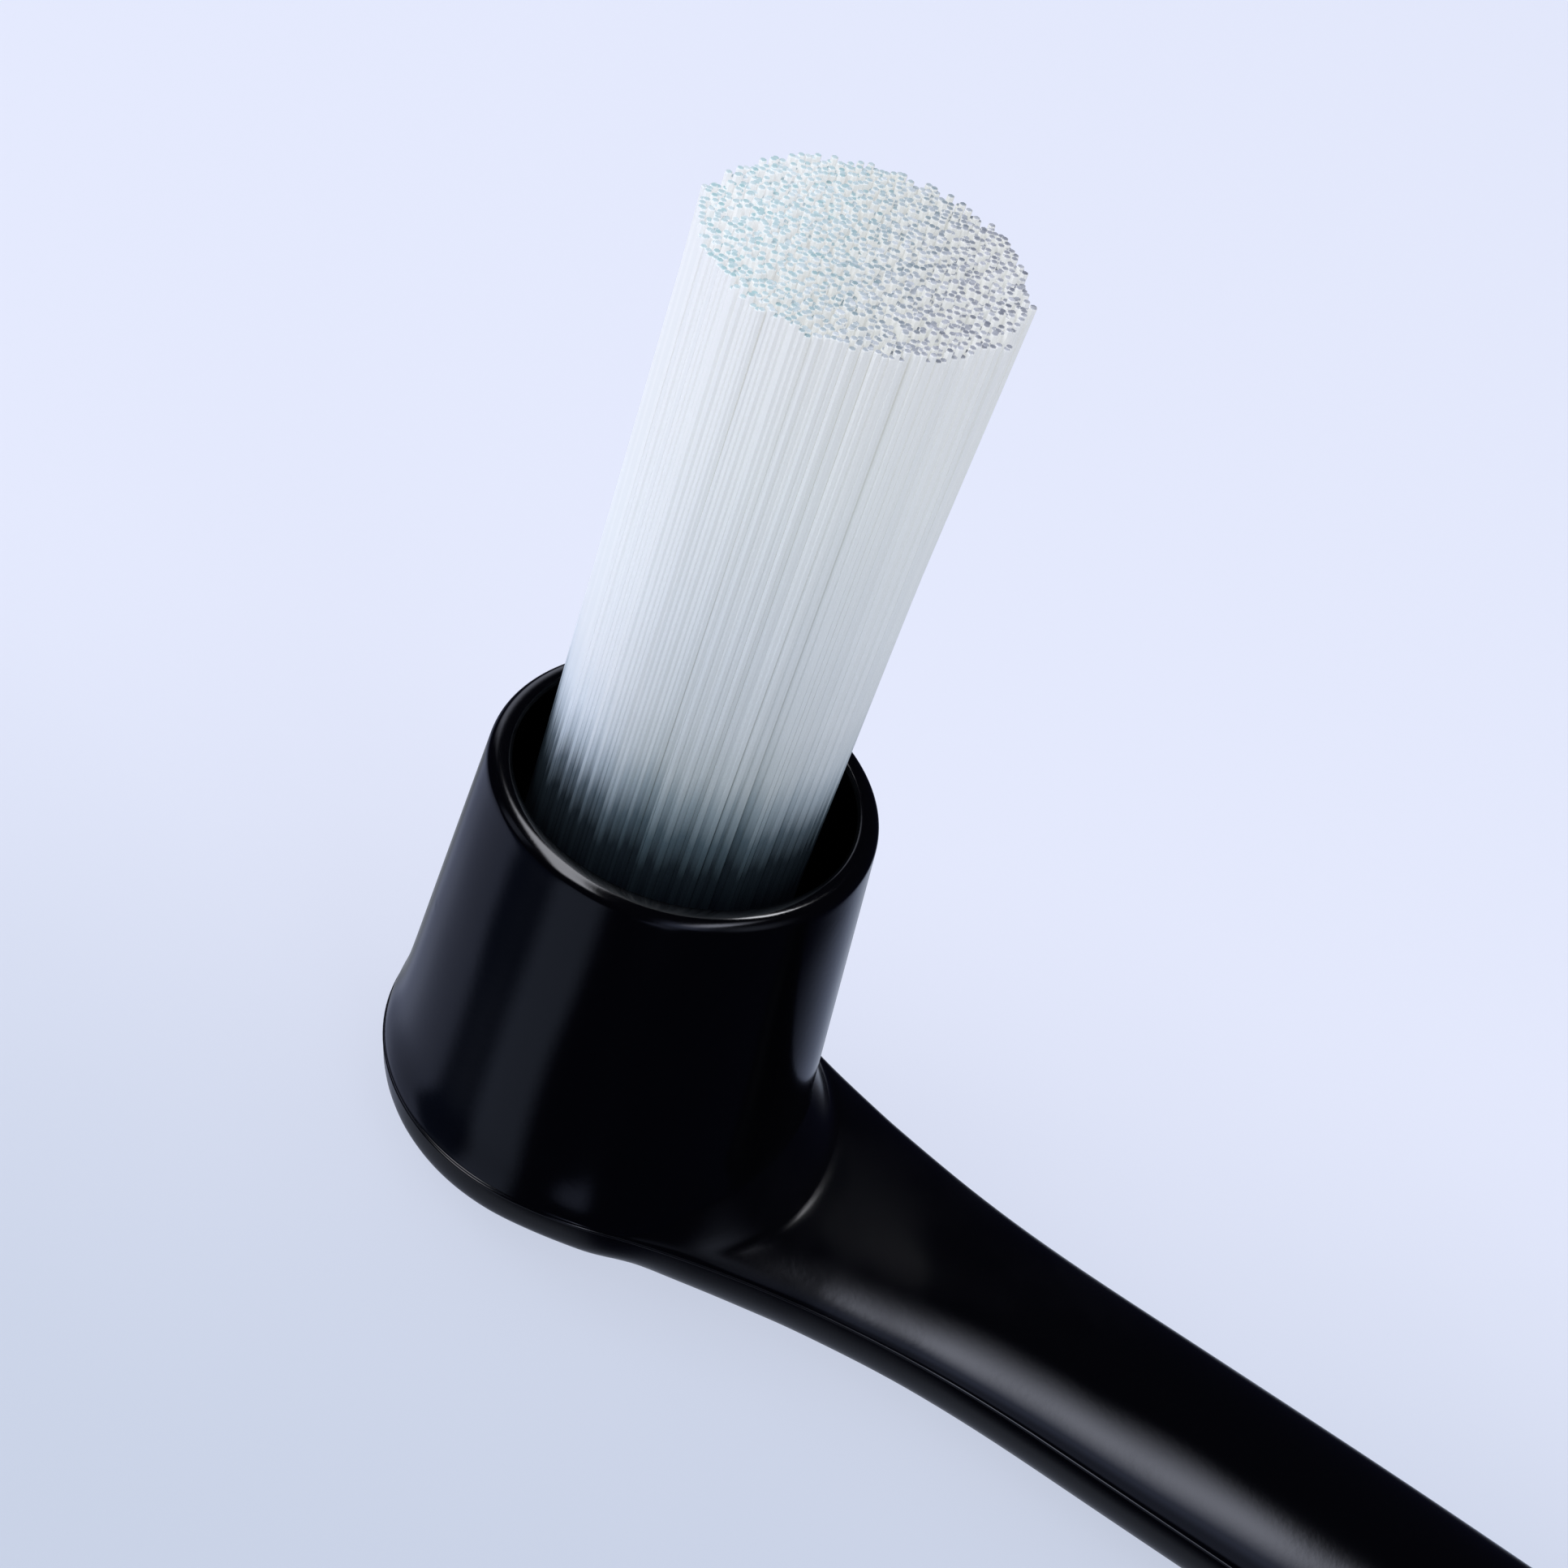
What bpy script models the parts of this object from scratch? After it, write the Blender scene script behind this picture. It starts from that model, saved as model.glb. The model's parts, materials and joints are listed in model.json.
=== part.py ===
"""Coffee machine cleaning brush.

One glossy black moulding makes the grip, the elbow and a tapered cup. A round bundle of stiff nylon filaments
stands in the cup, its feet set in a plug that is glued to the bottom of the bore. The brush lies on a surface
with its bristles up, on the far edge of the cup's foot and on the tail of the grip.

Run with: blender --background --python part.py
"""

import math
import random

import bmesh
import bpy
from mathutils import Matrix, Vector

MM = 0.001

# Cup, measured along its own axis from the parting line
CUP_HEIGHT = 20.75 * MM
RIM_RADIUS = 9.85 * MM
RIM_WALL = 1.1 * MM
RIM_EDGE = 0.3 * MM
BASE_RADIUS = 11.25 * MM
FOOT_FLARE = 0.45 * MM
FOOT_HEIGHT = 0.7 * MM

# Closed bottom of the cup, below the parting line
BASE_DEPTH = 4.2 * MM
BASE_EDGE = 3.6 * MM
FLOOR_WALL = 2.4 * MM
BORE_DRAFT = math.radians(1.2)
BORE_FLOOR_EDGE = 0.8 * MM

# Elbow between the cup and the grip
ELBOW_ANGLE = math.radians(17.0)
ELBOW_START = 1.0 * MM
ELBOW_RADIUS = 9.0 * MM
NECK_FLARE_RADIUS = 72.0 * MM
NECK_CROWN = 2.2 * MM
CROWN_BLEND = 48.0 * MM
DEPTH_BLEND = 16.0 * MM
WEB_FILLET = 2.4 * MM
NECK_INSET = 0.06 * MM

# Grip, measured along its centre line from the cup's axis
GRIP_LENGTH = 152.0 * MM
GRIP_WIDTH = 11.9 * MM
GRIP_CROWN = 4.1 * MM
GRIP_DEPTH = 4.9 * MM
GRIP_EDGE = 4.2 * MM
TAIL_ROUNDING = 6.5 * MM
TAIL_CORNER = 2.2 * MM

# Hanging hole through the tail
HOLE_RADIUS = 3.2 * MM
HOLE_INSET = 8.6 * MM
HOLE_ROUNDING = 0.6 * MM

# Plug and glue in the bottom of the bore
PLUG_HEIGHT = 5.0 * MM
PLUG_SLICE = 1.2 * MM
GLUE_UNDER = 0.6 * MM
GLUE_ROUND = 0.5 * MM
GLUE_HEIGHT = 3.6 * MM
SEAT_GAP = 0.3 * MM

# Bristles
BUNDLE_RADIUS = 7.4 * MM
BRISTLE_RINGS = 11
BRISTLE_THICKNESS = 0.5 * MM
BRISTLE_REACH = 31.95 * MM
BRISTLE_ROOTING = 0.6 * MM
BRISTLE_SIDES = 4
BUNDLE_LEAN = 0.6 * MM
TIP_SPREAD = 0.35 * MM
TIP_WANDER = 0.04 * MM
TIP_UNEVENNESS = 0.25 * MM
STRAY_LEAN = 0.5 * MM
STRAY_ANGLES = (math.radians(-17.0), math.radians(12.0), math.radians(168.0))
SEED = 7

# Facets
CUP_SEGMENTS = 64
ARC_STEPS = 5
SECTION_STEPS = 12

EPSILON = 1e-6


def clear_scene():
    """Remove the scene's objects."""
    for item in list(bpy.data.objects):
        bpy.data.objects.remove(item, do_unlink=True)


def make_collection(name):
    """A new collection under the scene's own."""
    collection = bpy.data.collections.new(name)
    bpy.context.scene.collection.children.link(collection)
    return collection


def make_material(name, colour, roughness, metallic=0.0):
    """A plain Principled material."""
    material = bpy.data.materials.new(name)
    material.use_nodes = True
    shader = material.node_tree.nodes["Principled BSDF"]
    shader.inputs["Base Color"].default_value = (*colour, 1.0)
    shader.inputs["Roughness"].default_value = roughness
    shader.inputs["Metallic"].default_value = metallic
    return material


def object_from_bmesh(name, mesh_data, collection):
    """Turn a bmesh into an object with its faces pointing out."""
    bmesh.ops.recalc_face_normals(mesh_data, faces=mesh_data.faces[:])
    mesh = bpy.data.meshes.new(name)
    mesh_data.to_mesh(mesh)
    mesh_data.free()
    item = bpy.data.objects.new(name, mesh)
    collection.objects.link(item)
    return item


def arc(centre_x, centre_z, radius, start, end, steps=ARC_STEPS):
    """Points of a round stretch of a profile, from one angle to another."""
    angles = (math.radians(start + (end - start) * step / steps) for step in range(steps + 1))
    return [(centre_x + radius * math.cos(angle), centre_z + radius * math.sin(angle)) for angle in angles]


def turned(name, profile, collection, segments=CUP_SEGMENTS):
    """A solid turned about Z from a profile of (radius, height) points that starts and ends on the axis."""
    shape = bmesh.new()
    points = [shape.verts.new((radius, 0.0, height)) for radius, height in profile]
    for first, second in zip(points, points[1:]):
        shape.edges.new((first, second))
    mesh = bpy.data.meshes.new(name)
    shape.to_mesh(mesh)
    shape.free()
    item = bpy.data.objects.new(name, mesh)
    collection.objects.link(item)
    screw = item.modifiers.new("turn", "SCREW")
    screw.steps = segments
    screw.render_steps = segments
    screw.use_merge_vertices = True
    screw.merge_threshold = 1e-6
    return item


def combine(item, other, operation):
    """Join or cut an object with another one, as a modifier."""
    boolean = item.modifiers.new(operation.lower(), "BOOLEAN")
    boolean.operation = operation
    boolean.object = other
    boolean.solver = "EXACT"


def hide(item):
    """Show a cutter as wire and leave it out of the renders."""
    item.hide_render = True
    item.display_type = "WIRE"


def smooth(item, angle=math.radians(35.0)):
    """Shade an object's round faces smooth."""
    item.data.shade_smooth()
    item.data.set_sharp_from_angle(angle=angle)


def ease(amount):
    """A soft step from 0 to 1."""
    amount = min(max(amount, 0.0), 1.0)
    return amount * amount * (3.0 - 2.0 * amount)


# Cup

def wall_radius(height):
    """Outer radius of the cup's wall at a height above the parting line."""
    taper = (BASE_RADIUS - RIM_RADIUS) / CUP_HEIGHT
    straight = BASE_RADIUS - taper * max(height, 0.0)
    return straight + FOOT_FLARE * (1.0 - ease(height / FOOT_HEIGHT))


def foot_radius():
    """Radius of the cup at the parting line."""
    return wall_radius(0.0)


def bore_radius(height):
    """Radius of the drafted bore at a height above the parting line."""
    return RIM_RADIUS - RIM_WALL - (CUP_HEIGHT - height) * math.tan(BORE_DRAFT)


def bore_floor():
    """Height of the bore's floor above the parting line."""
    return FLOOR_WALL - BASE_DEPTH


def wall_heights():
    """Heights at which the cup's outer wall has a ring, top to bottom."""
    foot = [FOOT_HEIGHT * (1.0 - step / 4) for step in range(5)]
    return [CUP_HEIGHT - RIM_EDGE] + foot


def make_cup(collection):
    """The cup with a closed bottom, before its bore is cut."""
    profile = [(0.0, CUP_HEIGHT)]
    profile += arc(RIM_RADIUS - RIM_EDGE, CUP_HEIGHT - RIM_EDGE, RIM_EDGE, 90.0, 0.0)[:-1]
    profile += [(wall_radius(height), height) for height in wall_heights()]
    edge_centre = foot_radius() - BASE_EDGE
    profile += arc(edge_centre, BASE_EDGE - BASE_DEPTH, BASE_EDGE, 0.0, -90.0)
    profile.append((0.0, -BASE_DEPTH))
    return turned("cup_form", profile, collection)


def make_bore_cutter(collection):
    """The bore with its rounded mouth and floor."""
    above = 2.0 * MM
    mouth = bore_radius(CUP_HEIGHT)
    floor = bore_floor()
    mouth_edge = arc(mouth + RIM_EDGE, CUP_HEIGHT - RIM_EDGE, RIM_EDGE, 90.0, 180.0)
    floor_radius = bore_radius(floor)
    floor_edge = arc(floor_radius - BORE_FLOOR_EDGE, floor + BORE_FLOOR_EDGE, BORE_FLOOR_EDGE, 0.0, -90.0)
    profile = [(0.0, CUP_HEIGHT + above), (mouth + RIM_EDGE, CUP_HEIGHT + above)]
    profile += mouth_edge + floor_edge + [(0.0, floor)]
    return turned("bore_cutter", profile, collection)


# Neck and grip

def centre_line(distance):
    """Point of the grip's centre line and its slope, in the cup's frame, at a distance from the cup's axis."""
    bend_length = ELBOW_RADIUS * ELBOW_ANGLE
    turn = min(max(distance - ELBOW_START, 0.0), bend_length) / ELBOW_RADIUS
    beyond = max(distance - ELBOW_START - bend_length, 0.0)
    x = min(distance, ELBOW_START) + ELBOW_RADIUS * math.sin(turn) + beyond * math.cos(ELBOW_ANGLE)
    z = -ELBOW_RADIUS * (1.0 - math.cos(turn)) - beyond * math.sin(ELBOW_ANGLE)
    return x, z, turn


def neck_half_width(distance):
    """Half width at the parting line: it leaves the cup's foot on a tangent and flares down to the grip."""
    grip = GRIP_WIDTH / 2.0
    foot = foot_radius() - NECK_INSET
    flare_end = math.sqrt((foot + NECK_FLARE_RADIUS) ** 2 - (grip + NECK_FLARE_RADIUS) ** 2)
    tangent = flare_end * foot / (foot + NECK_FLARE_RADIUS)
    if distance < tangent:
        return math.sqrt(foot * foot - distance * distance)
    if distance < flare_end:
        rest = flare_end - distance
        return grip + NECK_FLARE_RADIUS - math.sqrt(NECK_FLARE_RADIUS ** 2 - rest ** 2)
    return grip


def tail_factor(distance, rounding):
    """Share of the full section that is left near the grip's rounded end."""
    into = max(distance - (GRIP_LENGTH - rounding), 0.0) / rounding
    return math.sqrt(max(1.0 - into * into, 0.0))


def web_lift(x, y, z):
    """Height of the fillet between the neck's back and the cup's wall, at a point in the cup's frame."""
    outside = math.hypot(x, y) - wall_radius(z + WEB_FILLET)
    reach = min(max(WEB_FILLET - outside, 0.0), WEB_FILLET)
    return WEB_FILLET - math.sqrt(WEB_FILLET ** 2 - reach ** 2)


def section(distance):
    """Ring of points round the neck or grip at a distance from the cup's axis, in the cup's frame."""
    x, z, turn = centre_line(distance)
    crown_blend = ease((distance - foot_radius()) / CROWN_BLEND)
    depth_blend = ease(distance / DEPTH_BLEND)
    width_left = tail_factor(distance, TAIL_ROUNDING)
    height_left = tail_factor(distance, TAIL_CORNER)
    half_width = neck_half_width(distance) * width_left
    crown = (NECK_CROWN + (GRIP_CROWN - NECK_CROWN) * crown_blend) * height_left
    depth = (BASE_DEPTH - NECK_INSET + (GRIP_DEPTH - BASE_DEPTH) * depth_blend) * height_left
    edge = min(BASE_EDGE + (GRIP_EDGE - BASE_EDGE) * depth_blend, half_width)
    ring = []
    for step in range(2 * SECTION_STEPS):
        angle = math.pi * step / SECTION_STEPS
        across = math.cos(angle)
        up = math.sin(angle)
        if up >= 0.0:
            y = half_width * across
            rise = crown * up
            rise += up * web_lift(x + rise * math.sin(turn), y, z + rise * math.cos(turn))
        else:
            y = math.copysign(half_width - edge, across) + edge * across if abs(across) > EPSILON else 0.0
            rise = depth * up
        ring.append(Vector((x + rise * math.sin(turn), y, z + rise * math.cos(turn))))
    return ring


def section_places():
    """Distances from the cup's axis at which the neck and grip have a ring."""
    bend_end = ELBOW_START + ELBOW_RADIUS * ELBOW_ANGLE
    elbow = [0.3 * MM] + [ELBOW_START + (bend_end - ELBOW_START) * step / 3 for step in range(4)]
    web_start = BASE_RADIUS - 2.0 * WEB_FILLET
    web_end = BASE_RADIUS + 2.0 * WEB_FILLET
    web = [web_start + (web_end - web_start) * step / 16 for step in range(17)]
    tail_start = GRIP_LENGTH - TAIL_ROUNDING
    blend_end = foot_radius() + CROWN_BLEND
    neck = [web_end + (blend_end - web_end) * (step / 9) for step in range(1, 10)]
    tail = [tail_start + TAIL_ROUNDING * math.sin(math.pi / 2 * step / 9) for step in range(9)]
    return elbow + web + neck + tail + [GRIP_LENGTH - 0.02 * MM]


def make_grip(collection):
    """The neck and grip, lofted through unlike sections."""
    shape = bmesh.new()
    rings = []
    for distance in section_places():
        points = [shape.verts.new(point) for point in section(distance)]
        rings.append([shape.edges.new((points[index - 1], points[index])) for index in range(len(points))])
    for first, second in zip(rings, rings[1:]):
        bmesh.ops.bridge_loops(shape, edges=first + second)
    bmesh.ops.contextual_create(shape, geom=rings[0])
    bmesh.ops.contextual_create(shape, geom=rings[-1])
    return object_from_bmesh("grip_form", shape, collection)


def make_hole_cutter(collection):
    """The hanging hole with rounded mouths, square to the grip."""
    x, z, turn = centre_line(GRIP_LENGTH - HOLE_INSET)
    past = 1.0 * MM
    wide = HOLE_RADIUS + HOLE_ROUNDING
    top = GRIP_CROWN
    bottom = -GRIP_DEPTH
    profile = [(0.0, top + past), (wide, top + past)]
    profile += arc(wide, top - HOLE_ROUNDING, HOLE_ROUNDING, 90.0, 180.0)
    profile += arc(wide, bottom + HOLE_ROUNDING, HOLE_ROUNDING, 180.0, 270.0)
    profile += [(wide, bottom - past), (0.0, bottom - past)]
    cutter = turned("hole_cutter", profile, collection, segments=32)
    cutter.matrix_world = Matrix.Translation((x, 0.0, z)) @ Matrix.Rotation(turn, 4, "Y")
    return cutter


def make_handle(parts, cutters, material):
    """The one moulding: cup, neck and grip in one, bored and holed."""
    handle = make_grip(parts)
    handle.name = "handle"
    handle.data.materials.append(material)
    tools = [(make_cup(cutters), "UNION"), (make_bore_cutter(cutters), "DIFFERENCE")]
    tools.append((make_hole_cutter(cutters), "DIFFERENCE"))
    for tool, operation in tools:
        hide(tool)
        combine(handle, tool, operation)
    smooth(handle)
    return handle, [tool for tool, operation in tools]


# What is in the bore

def glue_floor():
    """Height of the glue's underside."""
    return bore_floor() + SEAT_GAP


def plug_floor():
    """Height of the plug's underside."""
    return glue_floor() + GLUE_UNDER + SEAT_GAP


def plug_radius():
    """Radius of the plug, inside the glue and the narrowest stretch of the bore that it stands in."""
    return bore_radius(bore_floor()) - GLUE_ROUND - 2.0 * SEAT_GAP


def make_adhesive_bed(parts, material):
    """A shallow cup of set glue under the plug and round it."""
    outer = bore_radius(bore_floor()) - SEAT_GAP
    inner = plug_radius() + SEAT_GAP
    floor = glue_floor()
    top = floor + GLUE_HEIGHT
    bed = floor + GLUE_UNDER
    corner = BORE_FLOOR_EDGE
    profile = [(0.0, bed), (inner, bed), (inner, top), (outer, top)]
    profile += arc(outer - corner, floor + corner, corner, 0.0, -90.0) + [(0.0, floor)]
    item = turned("adhesive_bed", profile, parts, segments=48)
    item.data.materials.append(material)
    return item


def make_root_plug(parts, material):
    """The plug that the filaments' feet are set in, up to the slice that stays with the bristles."""
    corner = 0.4 * MM
    top = plug_floor() + PLUG_HEIGHT
    radius = plug_radius()
    profile = [(0.0, top), (radius, top)]
    profile += arc(radius - corner, plug_floor() + corner, corner, 0.0, -90.0, 3) + [(0.0, plug_floor())]
    item = turned("root_plug", profile, parts, segments=48)
    item.data.materials.append(material)
    return item


def bristle_pitch():
    """Spacing of the bristles, from ring to ring and along each ring."""
    return (BUNDLE_RADIUS - BRISTLE_THICKNESS / 2.0) / BRISTLE_RINGS


def bristle_roots(chance):
    """Radius and angle of each bristle's foot: rings of even spacing, each turned by chance."""
    roots = [(0.0, 0.0)]
    for ring in range(1, BRISTLE_RINGS + 1):
        count = int(2.0 * math.pi * ring)
        start = chance.uniform(0.0, 2.0 * math.pi)
        roots += [(ring * bristle_pitch(), start + 2.0 * math.pi * index / count) for index in range(count)]
    return roots


def tip_shift(radius, angle):
    """How far out a bristle's tip stands from its foot: the bundle opens a little, and a few strays more."""
    shift = TIP_SPREAD * radius / BUNDLE_RADIUS
    outermost = radius > (BRISTLE_RINGS - 0.5) * bristle_pitch()
    half_step = 0.5 * bristle_pitch() / BUNDLE_RADIUS
    for stray in STRAY_ANGLES:
        if outermost and abs(math.remainder(angle - stray, 2.0 * math.pi)) < half_step:
            shift += STRAY_LEAN
    return shift


def add_bristle(shape, root, tip):
    """One straight filament from a foot to a tip."""
    along = tip - root
    turn = along.to_track_quat("Z", "Y").to_matrix().to_4x4()
    place = Matrix.Translation((root + tip) / 2.0) @ turn
    bmesh.ops.create_cone(
        shape, cap_ends=True, segments=BRISTLE_SIDES, radius1=BRISTLE_THICKNESS / 2.0,
        radius2=BRISTLE_THICKNESS / 2.0, depth=along.length, matrix=place)


def make_bristle_bundle(parts, cutters, material):
    """The filaments, fused to the top slice of their plug."""
    chance = random.Random(SEED)
    slice_floor = plug_floor() + PLUG_HEIGHT + SEAT_GAP
    slice_top = slice_floor + PLUG_SLICE
    tip_height = CUP_HEIGHT + BRISTLE_REACH
    shape = bmesh.new()
    for radius, angle in bristle_roots(chance):
        outward = Vector((math.cos(angle), math.sin(angle), 0.0))
        wander = Vector((chance.uniform(-TIP_WANDER, TIP_WANDER), chance.uniform(-TIP_WANDER, TIP_WANDER), 0.0))
        height = tip_height - TIP_UNEVENNESS * chance.random()
        root = outward * radius + Vector((0.0, 0.0, slice_top - BRISTLE_ROOTING))
        tip = outward * (radius + tip_shift(radius, angle)) + wander + Vector((BUNDLE_LEAN, 0.0, height))
        add_bristle(shape, root, tip)
    strands = object_from_bmesh("bristle_strands", shape, cutters)
    hide(strands)
    profile = [(0.0, slice_top), (plug_radius(), slice_top), (plug_radius(), slice_floor), (0.0, slice_floor)]
    bundle = turned("bristle_bundle", profile, parts, segments=48)
    bundle.data.materials.append(material)
    combine(bundle, strands, "UNION")
    return bundle, strands


# Whole brush

def world_points(item):
    """World positions of an object's evaluated vertices."""
    graph = bpy.context.evaluated_depsgraph_get()
    evaluated = item.evaluated_get(graph)
    mesh = evaluated.to_mesh()
    points = [evaluated.matrix_world @ vertex.co for vertex in mesh.vertices]
    evaluated.to_mesh_clear()
    return points


def lay_down(stand, handle, everything):
    """Turn the brush until the cup's foot and the grip's tail touch the surface, and centre it over the origin."""
    stand.rotation_euler.y = -ELBOW_ANGLE
    for attempt in range(6):
        bpy.context.view_layer.update()
        points = world_points(handle)
        middle = sum(point.x for point in points) / len(points)
        front = min((point for point in points if point.x < middle), key=lambda point: point.z)
        back = min((point for point in points if point.x >= middle), key=lambda point: point.z)
        stand.rotation_euler.y += math.atan2(back.z - front.z, back.x - front.x)
    bpy.context.view_layer.update()
    points = [point for item in everything for point in world_points(item)]
    middle_x = (min(point.x for point in points) + max(point.x for point in points)) / 2.0
    stand.location = (-middle_x, 0.0, -min(point.z for point in points))
    bpy.context.view_layer.update()


def main():
    """Build the brush."""
    clear_scene()
    parts = make_collection("coffee_machine_cleaning_brush")
    cutters = make_collection("cutters")
    black = make_material("handle_black_gloss", (0.012, 0.012, 0.014), 0.12)
    nylon = make_material("bristle_nylon", (0.72, 0.79, 0.82), 0.35)
    resin = make_material("plug_resin", (0.55, 0.52, 0.43), 0.5)
    glue = make_material("set_glue", (0.80, 0.76, 0.62), 0.4)
    handle, tools = make_handle(parts, cutters, black)
    bundle, strands = make_bristle_bundle(parts, cutters, nylon)
    pieces = [handle, bundle, make_root_plug(parts, resin), make_adhesive_bed(parts, glue)]
    stand = bpy.data.objects.new("lying_frame", None)
    parts.objects.link(stand)
    for item in pieces + tools + [strands]:
        item.parent = stand
    lay_down(stand, handle, pieces)


if __name__ == "__main__":
    main()
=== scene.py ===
"""Coffee machine cleaning brush: its fine meshes, finishes, stage, light and camera.

The handle is one glossy black moulding. It is modelled as a coarse cage of rings, drawn out in edit mode from
the cup's underside up to its rim and down into its bore, and from the side of the foot along the neck and the
grip to the tail, and then subdivided. The bristles are one filament, modelled once and copied.
"""

import json
import logging
import math
import random
from collections.abc import Callable, Sequence
from dataclasses import dataclass, field
from enum import Enum

import bmesh
import bpy
from mathutils import Euler, Matrix, Vector


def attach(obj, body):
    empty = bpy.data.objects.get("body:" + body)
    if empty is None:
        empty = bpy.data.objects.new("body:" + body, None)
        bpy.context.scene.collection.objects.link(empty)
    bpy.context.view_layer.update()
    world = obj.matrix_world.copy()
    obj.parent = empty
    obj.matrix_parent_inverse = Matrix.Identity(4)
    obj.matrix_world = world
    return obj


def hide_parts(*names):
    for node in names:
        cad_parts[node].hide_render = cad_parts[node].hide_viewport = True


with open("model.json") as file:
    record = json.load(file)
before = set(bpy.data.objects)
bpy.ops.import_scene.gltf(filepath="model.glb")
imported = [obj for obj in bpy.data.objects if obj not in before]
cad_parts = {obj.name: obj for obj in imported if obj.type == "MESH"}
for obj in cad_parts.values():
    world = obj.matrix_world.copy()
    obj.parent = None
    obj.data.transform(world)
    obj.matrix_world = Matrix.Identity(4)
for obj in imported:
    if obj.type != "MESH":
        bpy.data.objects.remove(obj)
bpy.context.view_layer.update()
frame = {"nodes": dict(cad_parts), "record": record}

MM = 0.001
BODY = "root"
QUARTER_TURN = math.pi / 2.0
HALF_TURN = math.pi
FULL_TURN = 2.0 * math.pi

Colour = tuple[float, float, float]
Stops = tuple[tuple[float, Colour], ...]
Inputs = dict[str | int, object]

log = logging.getLogger("brush")


class Slot(Enum):
    """The record's material slots."""

    HANDLE = "handle_plastic"
    BRISTLES = "bristle_nylon"
    PLUG = "plug_resin"
    GLUE = "set_glue"


def ease(amount: float) -> float:
    """A soft step from 0 to 1, for an amount whose ends are 0 and 1."""
    amount = min(max(amount, 0.0), 1.0)
    return amount * amount * (3.0 - 2.0 * amount)


def mix(first: float, second: float, share: float) -> float:
    """The number that lies a share of the way from the first to the second."""
    return first + (second - first) * share


# Shader graphs


class Signal:
    """A shader value that takes part in sums."""

    def __init__(self, graph: "Graph", socket: bpy.types.NodeSocket) -> None:
        """Wrap an output socket of a graph's node."""
        self.graph = graph
        self.socket = socket

    def __add__(self, other: object) -> "Signal":
        """Sum."""
        return self.graph.math("ADD", self, other)

    def __radd__(self, other: object) -> "Signal":
        """Sum with a number in front."""
        return self.graph.math("ADD", other, self)

    def __sub__(self, other: object) -> "Signal":
        """Difference."""
        return self.graph.math("SUBTRACT", self, other)

    def __rsub__(self, other: object) -> "Signal":
        """Difference from a number."""
        return self.graph.math("SUBTRACT", other, self)

    def __mul__(self, other: object) -> "Signal":
        """Product."""
        return self.graph.math("MULTIPLY", self, other)

    def __rmul__(self, other: object) -> "Signal":
        """Product with a number in front."""
        return self.graph.math("MULTIPLY", other, self)


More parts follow.
